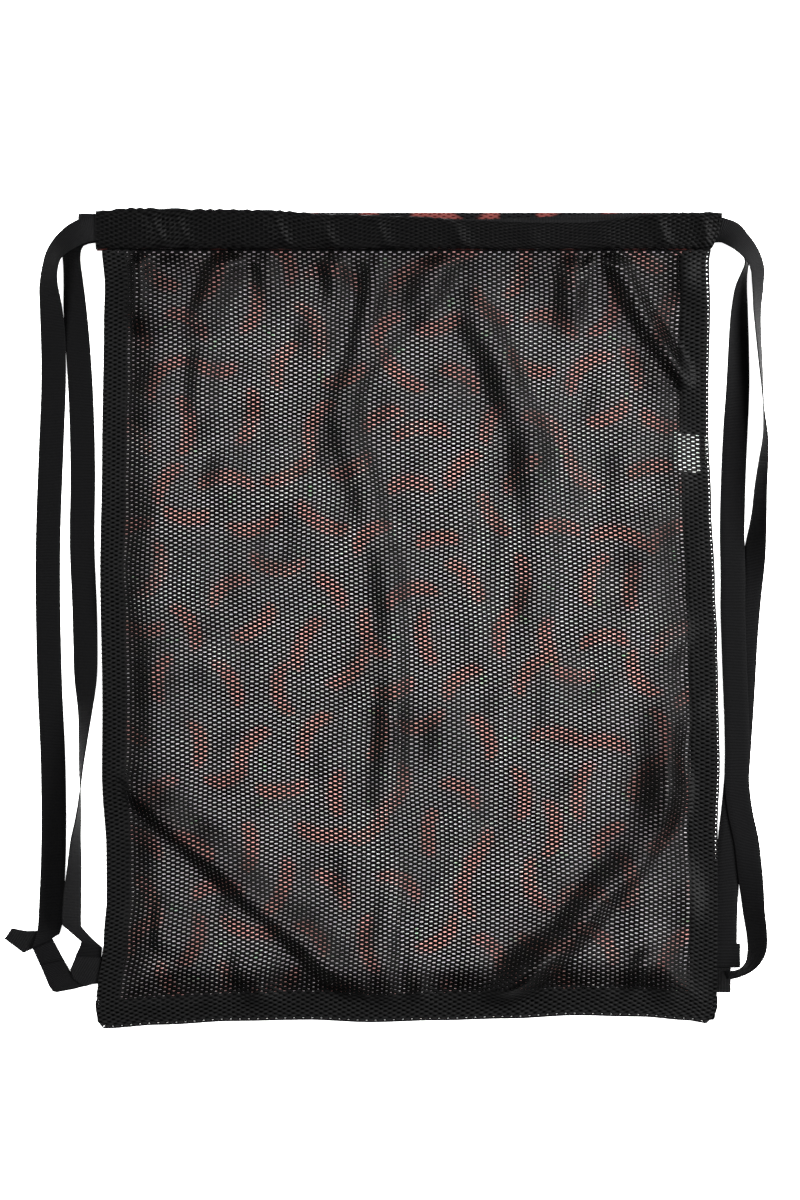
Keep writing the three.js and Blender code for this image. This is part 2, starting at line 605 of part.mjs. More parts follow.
const STRIP_Z = WEBBING + GAP;
addPiece('strap_left_front', join([
  webbing(strapRun(LEFT_FRONT_RUN)),
  plate(LOWER_STRIP, STRIP_Z, WEBBING),
]), BLACK_WEBBING);
addPiece('strap_left_back', join([webbing(strapRun(LEFT_BACK_RUN))]), BLACK_WEBBING);
addPiece('strap_left_twist', join([
  webbing(strapRun(LEFT_TWIST_RUN)),
  plate(UPPER_STRIP, STRIP_Z, WEBBING),
]), BLACK_WEBBING);

// The right strap turns round at the left end of the casings
function strapTurn(lower, upper) {
  const radius = (upper.middle.z - lower.middle.z) / 2;
  const centre = lower.middle.clone().setZ(lower.middle.z + radius);
  return TURN_ANGLES.map((degrees) => {
    const angle = THREE.MathUtils.degToRad(degrees);
    const face = new THREE.Vector3(Math.cos(angle), 0, Math.sin(angle));
    return { middle: centre.clone().addScaledVector(face, radius), across: upper.across, face };
  });
}

const turnEnd = strapRun(RIGHT_TURN_END);
const rightBack = strapRun(RIGHT_BACK_RUN);
const rightReturn = rightBack.slice().reverse().map(({ middle, across, face }) => {
  return { middle, across, face: face.clone().negate() };
});
addPiece('strap_right_front', join([webbing(strapRun(RIGHT_FRONT_RUN))]), BLACK_WEBBING);
addPiece('strap_right_back', join([webbing([
  ...rightReturn,
  ...strapTurn(rightBack[0], turnEnd[0]),
  ...turnEnd,
])]), BLACK_WEBBING);

// Tabs and strap ends at the lower corners
const TAB_TOP_Z = STRIP_Z + WEBBING + GAP;
addPiece('tab_left', join([
  plate(LEFT_TAB, 0, WEBBING),
  plate(LEFT_TAB_FOLD, WEBBING / 2, TAB_TOP_Z),
  plate(LEFT_TAB, TAB_TOP_Z, WEBBING),
]), BLACK_WEBBING);
const RIGHT_TAB_FOLD = { from: [RIGHT_TAB.to[0] - WEBBING, RIGHT_TAB.from[1]], to: RIGHT_TAB.to };
addPiece('tab_right', join([
  plate(rectangle(RIGHT_TAB), 0, WEBBING),
  plate(rectangle(RIGHT_TAB_FOLD), WEBBING / 2, STRIP_Z),
  plate(rectangle(RIGHT_TAB), STRIP_Z, WEBBING),
]), BLACK_WEBBING);
addPiece('strap_tail_left', plate(TAIL, 0, WEBBING), BLACK_WEBBING);
addPiece('strap_turnback_right', plate(rectangle(TURNBACK), STRIP_Z, WEBBING), BLACK_WEBBING);

export default part;
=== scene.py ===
import math

import bmesh
import bpy
import numpy as np
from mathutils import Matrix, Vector


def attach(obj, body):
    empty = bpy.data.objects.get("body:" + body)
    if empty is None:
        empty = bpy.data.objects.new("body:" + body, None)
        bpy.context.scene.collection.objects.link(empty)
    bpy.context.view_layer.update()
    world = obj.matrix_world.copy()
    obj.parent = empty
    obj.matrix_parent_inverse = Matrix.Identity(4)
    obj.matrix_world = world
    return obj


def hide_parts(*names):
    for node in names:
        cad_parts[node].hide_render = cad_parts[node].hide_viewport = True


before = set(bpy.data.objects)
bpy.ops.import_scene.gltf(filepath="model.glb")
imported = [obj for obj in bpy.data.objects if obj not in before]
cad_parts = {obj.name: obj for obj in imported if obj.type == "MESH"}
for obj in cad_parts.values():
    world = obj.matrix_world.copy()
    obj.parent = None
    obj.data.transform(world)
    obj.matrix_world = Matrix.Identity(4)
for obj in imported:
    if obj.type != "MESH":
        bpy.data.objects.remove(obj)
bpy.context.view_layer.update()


# Back panel: the cloth that lies on the floor, a warp-knitted polyester net with rows of oval eyes.
# Its outer face is printed dark with curved strokes, and the knit's pale reverse faces into the bag.
# It is cut in one piece and sewn to the front panel down both sides and along the bottom.
LEFT_EDGE = {
    "y": [-0.3255, -0.3195, -0.308, -0.292, -0.260, -0.224, -0.188,
          -0.127, -0.075, 0.034, 0.126, 0.239, 0.267, 0.294],
    "x": [-0.2455, -0.2503, -0.252, -0.2505, -0.246, -0.2435, -0.2435,
          -0.247, -0.2465, -0.2485, -0.247, -0.2455, -0.2445, -0.2465],
}
RIGHT_EDGE = {
    "y": [-0.326, -0.318, -0.308, -0.244, -0.180, -0.115, -0.067, -0.019,
          0.026, 0.094, 0.147, 0.187, 0.247, 0.286, 0.295],
    "x": [0.239, 0.2455, 0.248, 0.2485, 0.2485, 0.2505, 0.2495, 0.2485,
          0.2465, 0.2435, 0.2415, 0.2415, 0.2425, 0.241, 0.2425],
}
BOTTOM_EDGE = {
    "x": [-0.245, -0.200, -0.140, -0.080, -0.031, 0.021, 0.081, 0.134, 0.186, 0.226, 0.239],
    "y": [-0.330, -0.327, -0.324, -0.323, -0.325, -0.3235, -0.322, -0.3195, -0.3205, -0.3235, -0.326],
}
PANEL_TOP = 0.2942
PANEL_BOTTOM = -0.325
PANEL_FLAT = (0.500, 0.628)
BACK_LEFT_INSET = 0.0025
BACK_RIGHT_INSET = 0.0022
BACK_BOTTOM_INSET = 0.0026
INSIDE_FACE_Z = 0.0008
PRINTED_FACE_Z = 0.0003
EYE_PITCH = 0.00749
ROW_PITCH = 0.00177
EYE_HALF_WIDTH = 0.00145
EYE_HALF_HEIGHT = 0.00045
EYE_SHOULDER = 0.6
FIRST_EYE = 0.25
ROW_STAGGER = 0.5
BACK_OPENNESS = 0.62
BACK_WANDER = 0.0009
WANDER_SEED = 5
WANDER_WAVES = 10
WANDER_LENGTHS = (0.05, 0.22)
WANDER_SHARE = 0.4
STILL_EDGE = 0.03
PALE_YARN = (0.605, 0.555, 0.588)
PALE_RED = (0.94, 0.45, 0.41)
PALE_GREEN = (0.50, 0.74, 0.48)
PRINT_BLACK = (0.0012, 0.0012, 0.0013)
PRINT_RED = (0.036, 0.009, 0.008)
PRINT_GREEN = (0.002, 0.030, 0.006)


def smooth_step(start, end, value):
    """A smooth rise from 0 at start to 1 at end."""
    t = np.clip((value - start) / (end - start), 0, 1)
    return t * t * (3 - 2 * t)


def edge_line(table, along, across):
    """A smooth line through the rows of a table, level beyond its ends."""
    knots = np.array(table[along])
    values = np.array(table[across])

    def at(place):
        i = np.clip(np.searchsorted(knots, place, side="right") - 1, 0, len(knots) - 2)
        return values[i] + (values[i + 1] - values[i]) * smooth_step(knots[i], knots[i + 1], place)

    return at


left_edge = edge_line(LEFT_EDGE, "y", "x")
right_edge = edge_line(RIGHT_EDGE, "y", "x")
bottom_edge = edge_line(BOTTOM_EDGE, "x", "y")


def panel_place(u, v, left_inset, right_inset, bottom_inset):
    """Where a point of the flat panel lies within the bag's outline."""
    across = u / PANEL_FLAT[0]
    up = v / PANEL_FLAT[1]
    level = PANEL_BOTTOM + (PANEL_TOP - PANEL_BOTTOM) * up
    left = left_edge(level) + left_inset
    right = right_edge(level) - right_inset
    x = left + (right - left) * across
    bottom = bottom_edge(x) + bottom_inset
    return x, bottom + (PANEL_TOP - bottom) * up


def wander(x, y, reach, seed):
    """A slow wandering of the cloth in its own plane, as loose knit has."""
    chance = np.random.default_rng(seed)
    shift = np.zeros((2,) + x.shape)
    for wave in range(WANDER_WAVES):
        length = chance.uniform(*WANDER_LENGTHS)
        heading = chance.uniform(0, 2 * math.pi)
        phase = chance.uniform(0, 2 * math.pi)
        ripple = np.sin((x * math.cos(heading) + y * math.sin(heading)) * 2 * math.pi / length + phase)
        push = chance.uniform(0, 2 * math.pi)
        shift += reach * WANDER_SHARE * np.array([math.cos(push) * ripple, math.sin(push) * ripple])
    return x + shift[0], y + shift[1]


W, SW, SE, E, NE, NW = range(6)
EYE_U = EYE_HALF_WIDTH * np.array([-1, -EYE_SHOULDER, EYE_SHOULDER, 1, EYE_SHOULDER, -EYE_SHOULDER])
EYE_V = EYE_HALF_HEIGHT * np.array([0, -1, -1, 0, 1, 1])


def faces_of(*corners):
    """Faces from arrays of corner numbers, one array for each corner."""
    return np.stack(corners, axis=-1).reshape(-1, len(corners)).tolist()


def net_faces(rows, columns, sizes):
    """Faces of a net: strands and knots between its eyes, and a whole strip along each edge."""
    eyes, left, right, bottom, top, corner = np.split(np.arange(sum(sizes)), np.cumsum(sizes[:-1]))
    eyes = eyes.reshape(rows, columns, len(EYE_U)).transpose(2, 0, 1)
    even = eyes[:, 0::2]
    odd = eyes[:, 1::2]

    def strands(eye, above_right, above_left_eye, above_left):
        rising = faces_of(eye[E], above_right[SW], above_right[W], eye[NE])
        falling = faces_of(above_left_eye[W], above_left_eye[NW], above_left[E], above_left[SE])
        return rising + falling

    def knots(eye, above_right, above, above_left):
        return faces_of(eye[NW], eye[NE], above_right[W], above[SE], above[SW], above_left[E])

    def single(*corners):
        return [[int(corner_number) for corner_number in corners]]

    faces = strands(even, odd, even[:, :, 1:], odd[:, :, :-1])
    faces += strands(odd[:, :-1, :-1], even[:, 1:, 1:], odd[:, :-1], even[:, 1:])
    faces += knots(even[:, :-1, 1:], odd[:, :-1, 1:], even[:, 1:, 1:], odd[:, :-1, :-1])
    faces += knots(odd[:, :-1, :-1], even[:, 1:, 1:], odd[:, 1:, :-1], even[:, 1:, :-1])
    first, last = even[:, :, 0], odd[:, :, -1]
    faces += faces_of(left[:-1], first[W, :-1], first[NW, :-1], odd[W, :-1, 0], first[SW, 1:], first[W, 1:],
                      left[1:])
    faces += faces_of(last[E, :-1], right[:-1], right[1:], last[E, 1:], last[SE, 1:], even[E, 1:, -1],
                      last[NE, :-1])
    low, low_next = even[:, 0], odd[:, 0]
    faces += faces_of(bottom[:-1], bottom[1:], low[SW, 1:], low[W, 1:], low_next[SE, :-1], low_next[SW, :-1],
                      low[E, :-1], low[SE, :-1], low[SW, :-1])
    high, high_next = odd[:, -1], even[:, -1]
    faces += faces_of(high[NW, :-1], high[NE, :-1], high[E, :-1], high_next[NW, 1:], high_next[NE, 1:],
                      high[W, 1:], high[NW, 1:], top[1:], top[:-1])
    faces += single(corner[0], bottom[0], low[SW, 0], low[W, 0], left[0])
    faces += single(bottom[-1], corner[1], right[0], low_next[E, -1], low_next[SE, -1], low_next[SW, -1],
                    low[E, -1], low[SE, -1], low[SW, -1])
    faces += single(high[NW, -1], high[NE, -1], high[E, -1], right[-1], corner[2], top[-1])
    faces += single(left[-1], high_next[W, 0], high_next[NW, 0], high_next[NE, 0], high[W, 0], high[NW, 0],
                    top[0], corner[3])
    return faces


def knit(name, flat, lay, openness):
    """A net of staggered eyes over a flat cloth, laid in place by lay(u, v), each eye open by a share."""
    width, length = flat
    columns = round(width / EYE_PITCH)
    rows = 2 * round(length / ROW_PITCH / 2)
    row, column = np.mgrid[0:rows, 0:columns]
    middle_u = (column + FIRST_EYE + ROW_STAGGER * (row % 2)) * width / columns
    middle_v = (row + 1) * length / (rows + 1)
    share = openness(middle_u, middle_v)[..., None]
    eyes_u = middle_u[..., None] + EYE_U * share
    eyes_v = middle_v[..., None] + EYE_V * share ** 2
    left_v = middle_v[0::2, 0]
    right_v = middle_v[1::2, 0]
    bottom_u = middle_u[0]
    top_u = middle_u[-1]
    corners_u = [0, width, width, 0]
    corners_v = [0, 0, length, length]
    groups = [eyes_u.ravel(), 0 * left_v, 0 * right_v + width, bottom_u, top_u, corners_u]
    u = np.concatenate(groups)
    v = np.concatenate([eyes_v.ravel(), left_v, right_v, 0 * bottom_u, 0 * top_u + length, corners_v])
    faces = net_faces(rows, columns, [len(group) for group in groups])
    mesh = bpy.data.meshes.new(name)
    mesh.from_pydata(np.stack(lay(u, v), axis=-1), [], faces)
    mesh.shade_smooth()
    flat_map(mesh, "OFBake", u / max(flat), v / max(flat))
    flat_map(mesh, "knit", u / width * columns, v / length * (rows + 1))
    return add_object(name, mesh)


def flat_map(mesh, name, u, v):
    """A UV map from one flat place for each point of the mesh."""
    corner_points = np.empty(len(mesh.loops), dtype=np.int32)
    mesh.loops.foreach_get("vertex_index", corner_points)
    places = np.stack([u, v], axis=-1)[corner_points]
    mesh.uv_layers.new(name=name).data.foreach_set("uv", places.ravel().astype(np.float32))


def add_object(name, mesh):
    """Puts a mesh in the scene as a piece of that name."""
    piece = bpy.data.objects.new(name, mesh)
    bpy.context.scene.collection.objects.link(piece)
    return piece


STROKE_SEED = 23
STROKE_SPACING = 0.048
STROKE_ROW_SHARE = 0.87
STROKE_STRAY = 0.009
STROKE_HALF_LENGTH = (0.018, 0.025)
STROKE_HALF_WIDTH = 0.0060
PRINT_LOW = (-0.27, -0.345)
PRINT_HIGH = (0.29, 0.375)
STROKE_BEND = (9.0, 20.0)
TICK_HALF_LENGTH = 0.0055
TICK_HALF_WIDTH = 0.0013
TICK_OFFSET = 0.020
TICK_SHARE = 0.4
TICK_TURN = 1.1
STRAIGHT = 0
INK_BEGINS = 1.2
INK_WHOLE = 0.7


def bent_stroke(x, y, middle, heading, half_length, half_width, bend):
    """How much of each point lies in one short curved stroke with round ends."""
    dx = x - middle[0]
    dy = y - middle[1]
    along = dx * math.cos(heading) + dy * math.sin(heading)
    across = dy * math.cos(heading) - dx * math.sin(heading) - bend * along ** 2
    past_end = np.maximum(np.abs(along) - (half_length - half_width), 0)
    return smooth_step(INK_BEGINS * half_width, INK_WHOLE * half_width, np.hypot(past_end, across))


def scattered_print(x, y):
    """Red strokes and green ticks scattered over the cloth, as two shares of ink for each point."""
    chance = np.random.default_rng(STROKE_SEED)
    red = np.zeros(x.shape)
    green = np.zeros(x.shape)
    rows = np.arange(PRINT_LOW[1], PRINT_HIGH[1], STROKE_SPACING * STROKE_ROW_SHARE)
    columns = np.arange(PRINT_LOW[0], PRINT_HIGH[0], STROKE_SPACING)
    for row, base_y in enumerate(rows):
        for base_x in columns + (row % 2) * STROKE_SPACING / 2:
            middle_x = base_x + chance.uniform(-1, 1) * STROKE_STRAY
            middle_y = base_y + chance.uniform(-1, 1) * STROKE_STRAY
            heading = chance.uniform(0, math.pi)
            half_length = chance.uniform(*STROKE_HALF_LENGTH)
            bend = chance.uniform(*STROKE_BEND) * chance.choice([-1, 1])
            tick_side = chance.uniform(0, 2 * math.pi)
            tick_x = middle_x + TICK_OFFSET * math.cos(tick_side)
            tick_y = middle_y + TICK_OFFSET * math.sin(tick_side)
            near = np.hypot(x - middle_x, y - middle_y) < STROKE_SPACING
            place = (x[near], y[near])
            stroke = bent_stroke(*place, (middle_x, middle_y), heading, half_length, STROKE_HALF_WIDTH, bend)
            red[near] = np.maximum(red[near], stroke)
            if chance.uniform() < TICK_SHARE:
                tick = bent_stroke(*place, (tick_x, tick_y), heading + TICK_TURN, TICK_HALF_LENGTH,
                                   TICK_HALF_WIDTH, STRAIGHT)
                green[near] = np.maximum(green[near], tick)
    return red, green


def points_of(piece):
    """The places of a piece's points."""
    return np.array([vertex.co for vertex in piece.data.vertices])


def tint(piece, colours):
    """Stores a colour for each point of a net, or one for them all, that multiplies its yarn's colour: the
    print on the back panel, painted shade on the hems, a painted highlight along the front net's seams and on
    its casing.
    """
    rgba = np.ones((len(piece.data.vertices), 4))
    rgba[:, :3] = colours
    layer = piece.data.color_attributes.new("tint", "FLOAT_COLOR", "POINT")
    layer.data.foreach_set("color", rgba.ravel().astype(np.float32))


def ink(piece, ground, red_ink, green_ink):
    """Prints a net with the scattered strokes and ticks on a ground colour."""
    points = points_of(piece)
    red, green = scattered_print(points[:, 0], points[:, 1])
    red = red[:, None]
    green = (green * (1 - red[:, 0]))[:, None]
    tint(piece, np.array(ground) * (1 - red - green) + np.array(red_ink) * red + np.array(green_ink) * green)


def add_node(tree, kind, values=None, **settings):
    """A shader node with its settings, and with values for its sockets by name or number."""
    node = tree.nodes.new(kind)
    for setting, value in settings.items():
        setattr(node, setting, value)
    for socket, value in (values or {}).items():
        node.inputs[socket].default_value = value
    return node


def new_finish(name):
    """A material of that name, with its node tree and its surface."""
    material = bpy.data.materials.new(name)
    material.use_nodes = True
    return material, material.node_tree, material.node_tree.nodes["Principled BSDF"]


# Numbers of the sockets that share a name, on a colour mix and on a multiply-add node
MIX_SHARE = 0
MIX_FIRST = 6
MIX_SECOND = 7
MIX_RESULT = 2
MULTIPLIER = 1
ADDEND = 2


def mixed_colour(tree, share, first, second):
    """A colour that a share moves from a first one to a second one."""
    ends = {MIX_FIRST: (*first, 1), MIX_SECOND: (*second, 1)}
    mix = add_node(tree, "ShaderNodeMix", ends, data_type="RGBA")
    tree.links.new(share, mix.inputs[MIX_SHARE])
    return mix.outputs[MIX_RESULT]


def fine_yarns(tree, flat, scale, detail):
    """Fine uneven filaments over a flat map, as a share."""
    values = {"Scale": scale, "Detail": detail}
    noise = add_node(tree, "ShaderNodeTexNoise", values, noise_dimensions="2D")
    tree.links.new(flat, noise.inputs["Vector"])
    return noise.outputs["Fac"]


def add_relief(tree, surface, height, strength, depth):
    """Fine relief on a surface, raised by a height."""
    relief = add_node(tree, "ShaderNodeBump", {"Strength": strength, "Distance": depth})
    tree.links.new(height, relief.inputs["Height"])
    tree.links.new(relief.outputs["Normal"], surface.inputs["Normal"])


def uneven_roughness(tree, surface, share, least, most):
    """A roughness that a share moves between two limits."""
    rough = add_node(tree, "ShaderNodeMapRange", {"To Min": least, "To Max": most})
    tree.links.new(share, rough.inputs["Value"])
    tree.links.new(rough.outputs["Result"], surface.inputs["Roughness"])


YARN_SHINE = 0.011
FILAMENT_SCALE = 3.5
FILAMENT_DETAIL = 4
YARN_RELIEF = 0.7
YARN_RELIEF_DEPTH = 0.0004
ROUGHNESS_SPREAD = 0.08
# Relief heights over which the yarn's colour runs from painted shade to painted highlight
CREST = (-0.1, 1.5)


def knit_finish(name, dark, light, roughness, shine):
    """Knitted yarn: round strands between the eyes and fine filaments, with painted shade in the hollows and
    a painted highlight on the crests, times the stored tint.
    """
    material, tree, surface = new_finish(name)
    link = tree.links.new
    surface.inputs["Specular IOR Level"].default_value = shine
    flat = add_node(tree, "ShaderNodeUVMap", uv_map="knit").outputs[0]
    split = add_node(tree, "ShaderNodeSeparateXYZ")
    link(flat, split.inputs[0])

    def wave(place, turn, start):
        angle = add_node(tree, "ShaderNodeMath", {MULTIPLIER: turn, ADDEND: start}, operation="MULTIPLY_ADD")
        cosine = add_node(tree, "ShaderNodeMath", operation="COSINE")
        link(place, angle.inputs[0])
        link(angle.outputs[0], cosine.inputs[0])
        return cosine.outputs[0]

    strand = add_node(tree, "ShaderNodeMath", operation="MULTIPLY")
    link(wave(split.outputs["X"], 2 * math.pi, -math.pi / 2), strand.inputs[0])
    link(wave(split.outputs["Y"], math.pi, -math.pi), strand.inputs[1])
    filaments = fine_yarns(tree, flat, FILAMENT_SCALE, FILAMENT_DETAIL)
    height = add_node(tree, "ShaderNodeMath", {MULTIPLIER: -1.0}, operation="MULTIPLY_ADD")
    link(strand.outputs[0], height.inputs[0])
    link(filaments, height.inputs[ADDEND])
    add_relief(tree, surface, height.outputs[0], YARN_RELIEF, YARN_RELIEF_DEPTH)

    # Painted shade and highlight: the colour runs from dark where the relief is low, at the eyes' edges, to
    # light on the strands' tops, with the filaments' uneven tone
    crest = add_node(tree, "ShaderNodeMapRange", {"From Min": CREST[0], "From Max": CREST[1]})
    link(height.outputs[0], crest.inputs["Value"])
    stored = add_node(tree, "ShaderNodeAttribute", attribute_name="tint")
    tint_and_shading = add_node(tree, "ShaderNodeMix", {MIX_SHARE: 1.0}, data_type="RGBA", blend_type="MULTIPLY")
    link(stored.outputs["Color"], tint_and_shading.inputs[MIX_FIRST])
    link(mixed_colour(tree, crest.outputs["Result"], dark, light), tint_and_shading.inputs[MIX_SECOND])
    link(tint_and_shading.outputs[MIX_RESULT], surface.inputs["Base Color"])
    smoothest = roughness - ROUGHNESS_SPREAD
    roughest = roughness + ROUGHNESS_SPREAD
    uneven_roughness(tree, surface, filaments, smoothest, roughest)
    return material


# Painted shade on the printed yarn: a tenth darker in the hollows at its eyes than on its crests
PRINTED_HOLLOW_SHADE = (0.90, 0.90, 0.90)
PRINTED_CREST_LIT = (1.0, 1.0, 1.0)
PRINTED_ROUGHNESS = 0.7
printed_yarn = knit_finish("printed_yarn", PRINTED_HOLLOW_SHADE, PRINTED_CREST_LIT, PRINTED_ROUGHNESS, YARN_SHINE)


def within_panel(u, v):
    """0 at the edges of a flat panel and 1 from a little way in."""
    from_edge = np.minimum(np.minimum(u, PANEL_FLAT[0] - u), np.minimum(v, PANEL_FLAT[1] - v))
    return smooth_step(0, STILL_EDGE, from_edge)


def back_panel_lay(height):
    """Lays the back panel flat on the floor, with a slow wave in the knit."""
    def lay(u, v):
        x, y = panel_place(u, v, BACK_LEFT_INSET, BACK_RIGHT_INSET, BACK_BOTTOM_INSET)
        inner = within_panel(u, v)
        wandered = wander(x, y, BACK_WANDER, WANDER_SEED)
        return x + (wandered[0] - x) * inner, y + (wandered[1] - y) * inner, 0 * x + height
    return lay


def narrowed(share):
    """Eyes drawn partly shut, all by the same share."""
    def openness(u, v):
        return np.full(u.shape, share)
    return openness


back_eyes = narrowed(BACK_OPENNESS)
back_panel = knit("back_panel_inside_face", PANEL_FLAT, back_panel_lay(INSIDE_FACE_Z), back_eyes)
ink(back_panel, PALE_YARN, PALE_RED, PALE_GREEN)
back_print = knit("back_panel_printed_face", PANEL_FLAT, back_panel_lay(PRINTED_FACE_Z), back_eyes)
back_print.data.flip_normals()
ink(back_print, PRINT_BLACK, PRINT_RED, PRINT_GREEN)
for piece in (back_panel, back_print):
    piece.data.materials.append(printed_yarn)
    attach(piece, "root")
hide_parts("back_panel")


# Back casing: the top of the back panel, turned over to a flat tube and sewn down along its lower edge.
# The printed face is outside, so a strip of the print shows where the tube stands above the front one.
# Both straps run through it, and its two ends are open.
CASING_END = 0.251
CASING_LOW = 0.2945
BACK_CASING_HIGH = 0.3255
CASING_DEPTH = 0.0049
CASING_SQUARE = 6
CASING_EDGE_DROP = 0.75
CASING_EDGE_POWER = 5
CASING_SPARE = 0.004
CASING_OPENNESS = 1.0
CASING_TUCK = 0.009
CASING_TUCK_FROM = 0.190
SECTION_STEPS = 721


def tube_section(turn):
    """A flat tube's section by the turn from its lower seam, in shares of half width and half depth."""
    size = np.abs(np.cos(turn)) ** CASING_SQUARE + np.abs(np.sin(turn)) ** CASING_SQUARE
    flatten = size ** (-1 / CASING_SQUARE)
    across = np.clip(-np.cos(turn) * flatten, -1, 1)
    lens = 1 - CASING_EDGE_DROP * np.abs(across) ** CASING_EDGE_POWER
    return across, np.clip(np.sin(turn) * flatten, -1, 1) * lens


section_turns = np.linspace(0, 2 * math.pi, SECTION_STEPS)
section_across, section_up = tube_section(section_turns)
section_widths = np.diff(section_across) * (BACK_CASING_HIGH - CASING_LOW)
section_runs = np.hypot(section_widths, np.diff(section_up) * CASING_DEPTH)
section_share = np.concatenate([[0], np.cumsum(section_runs)]) / section_runs.sum()


def tube_place(v, around, low, high, bottom):
    """A point on the wall of a flat tube, v along the way round from its lower seam: y and z."""
    across, up = tube_section(np.interp(v / around % 1, section_share, section_turns))
    return (low + high + (high - low) * across) / 2, bottom + CASING_DEPTH / 2 * (1 + up)


BACK_CASING_FLAT = (2 * CASING_END, 2 * (BACK_CASING_HIGH - CASING_LOW) + CASING_SPARE)


def tucked(x, up):
    """Place along a casing, drawn in at the lower corner of its right end."""
    return x - CASING_TUCK * (1 - up) ** 2 * smooth_step(CASING_TUCK_FROM, CASING_END, x)


def back_casing_lay(u, v):
    """Rolls the back casing's cloth into its flat tube on the floor."""
    x = u - CASING_END
    y, z = tube_place(v, BACK_CASING_FLAT[1], CASING_LOW, BACK_CASING_HIGH, 0.0)
    return tucked(x, (y - CASING_LOW) / (BACK_CASING_HIGH - CASING_LOW)), y, z


back_casing = knit("back_casing_tube", BACK_CASING_FLAT, back_casing_lay, narrowed(CASING_OPENNESS))
ink(back_casing, PRINT_BLACK, PRINT_RED, PRINT_GREEN)
back_casing.data.materials.append(printed_yarn)
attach(back_casing, "root")
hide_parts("back_casing")


# Hems: the seam allowance of both panels, turned in twice so that the border is several layers of net.
# Each hem is a strip of the same black net, folded round the bag's edge and lying between the panels.
# It is sewn into the side and bottom seams and makes the dark doubled border.
HEM_WIDTH = 0.0205
HEM_LOW_Z = 0.0014
HEM_HIGH_Z = 0.0023
HEM_LIP_Z = 0.0040
HEM_LIP = 0.004
HEM_TURN = 0.0035
HEM_LIP_SLACK = 0.0006
HEM_LIP_DROP = 0.0002
HEM_FOLD_DEPTH = 0.0008
HEM_INNER_DEPTH = 0.001
TO_THE_RIGHT = 1
TO_THE_LEFT = -1
LEFT_HEM_INSET = -0.0004
LEFT_HEM_SPREAD = 1
RIGHT_HEM_INSET = 0.0017
RIGHT_HEM_SPREAD = 1.16
HEM_OPENNESS = 0.6
SIDE_HEM_FLARE = (-0.225, -0.185)
BOTTOM_HEM_INSET = 0.0014
CORNER_DROP = 0.005
SIDE_HEM_TOP = 0.2938
SIDE_HEM_LOW = -0.3084
BOTTOM_HEM_LEFT = -0.2500
BOTTOM_HEM_RIGHT = 0.2460
BOTTOM_HEM_SIDE_INSET = -0.0004
# Black yarn: near black in the hollows at its eyes as painted shade, lighter on its crests as a painted
# highlight
BLACK_YARN_HOLLOW_SHADE = (0.00002, 0.00002, 0.00002)
BLACK_YARN_CREST_HIGHLIGHT = (0.0009, 0.0009, 0.00092)
HEM_ROUGHNESS = 0.60
HEM_SHINE = 0.002
# Painted shade: the hems' yarn is darkened to a tenth for the shade it lies in between the panels
HEM_PAINTED_SHADE = (0.1, 0.1, 0.1)
HEM_ACROSS = HEM_LIP + HEM_TURN + 2 * HEM_WIDTH
HEM_STEPS = [0, HEM_LIP, HEM_LIP + HEM_TURN / 2, HEM_LIP + HEM_TURN, HEM_ACROSS - HEM_WIDTH, HEM_ACROSS]
HEM_DEPTHS = [HEM_LIP + HEM_LIP_SLACK, HEM_FOLD_DEPTH, 0.0, HEM_FOLD_DEPTH, HEM_WIDTH, HEM_INNER_DEPTH]
HEM_HEIGHTS = [HEM_LIP_Z, HEM_LIP_Z - HEM_LIP_DROP, (HEM_LIP_Z + HEM_LOW_Z) / 2,
               HEM_LOW_Z, HEM_LOW_Z, HEM_HIGH_Z]
SIDE_HEM_FLAT = (HEM_ACROSS, SIDE_HEM_TOP - SIDE_HEM_LOW)
BOTTOM_HEM_FLAT = (BOTTOM_HEM_RIGHT - BOTTOM_HEM_LEFT, HEM_ACROSS)

hem_yarn = knit_finish("hem_yarn", BLACK_YARN_HOLLOW_SHADE, BLACK_YARN_CREST_HIGHLIGHT, HEM_ROUGHNESS, HEM_SHINE)


def hem_fold(across):
    """Depth in from the bag's edge and height of the hem, by the way across its folded strip."""
    return np.interp(across, HEM_STEPS, HEM_DEPTHS), np.interp(across, HEM_STEPS, HEM_HEIGHTS)


def side_hem_lay(edge, inset, inward, spread):
    """Lays a side hem along an edge of the bag, folded inward from it."""
    def lay(u, v):
        depth, z = hem_fold(u)
        y = SIDE_HEM_LOW + (SIDE_HEM_TOP - SIDE_HEM_LOW) * v / SIDE_HEM_FLAT[1]
        return edge(y) + inward * (inset * smooth_step(*SIDE_HEM_FLARE, y) + depth * spread), y, z
    return lay


def bottom_hem_lay(u, v):
    """Lays the bottom hem between the bag's lower corners, folded up from the bottom edge."""
    depth, z = hem_fold(v)
    across = u / BOTTOM_HEM_FLAT[0]
    y = bottom_edge(BOTTOM_HEM_LEFT + BOTTOM_HEM_FLAT[0] * across) + BOTTOM_HEM_INSET + depth
    left = left_edge(y + CORNER_DROP) + BOTTOM_HEM_SIDE_INSET
    right = right_edge(y + CORNER_DROP) - BOTTOM_HEM_SIDE_INSET
    return left + (right - left) * across, y, z


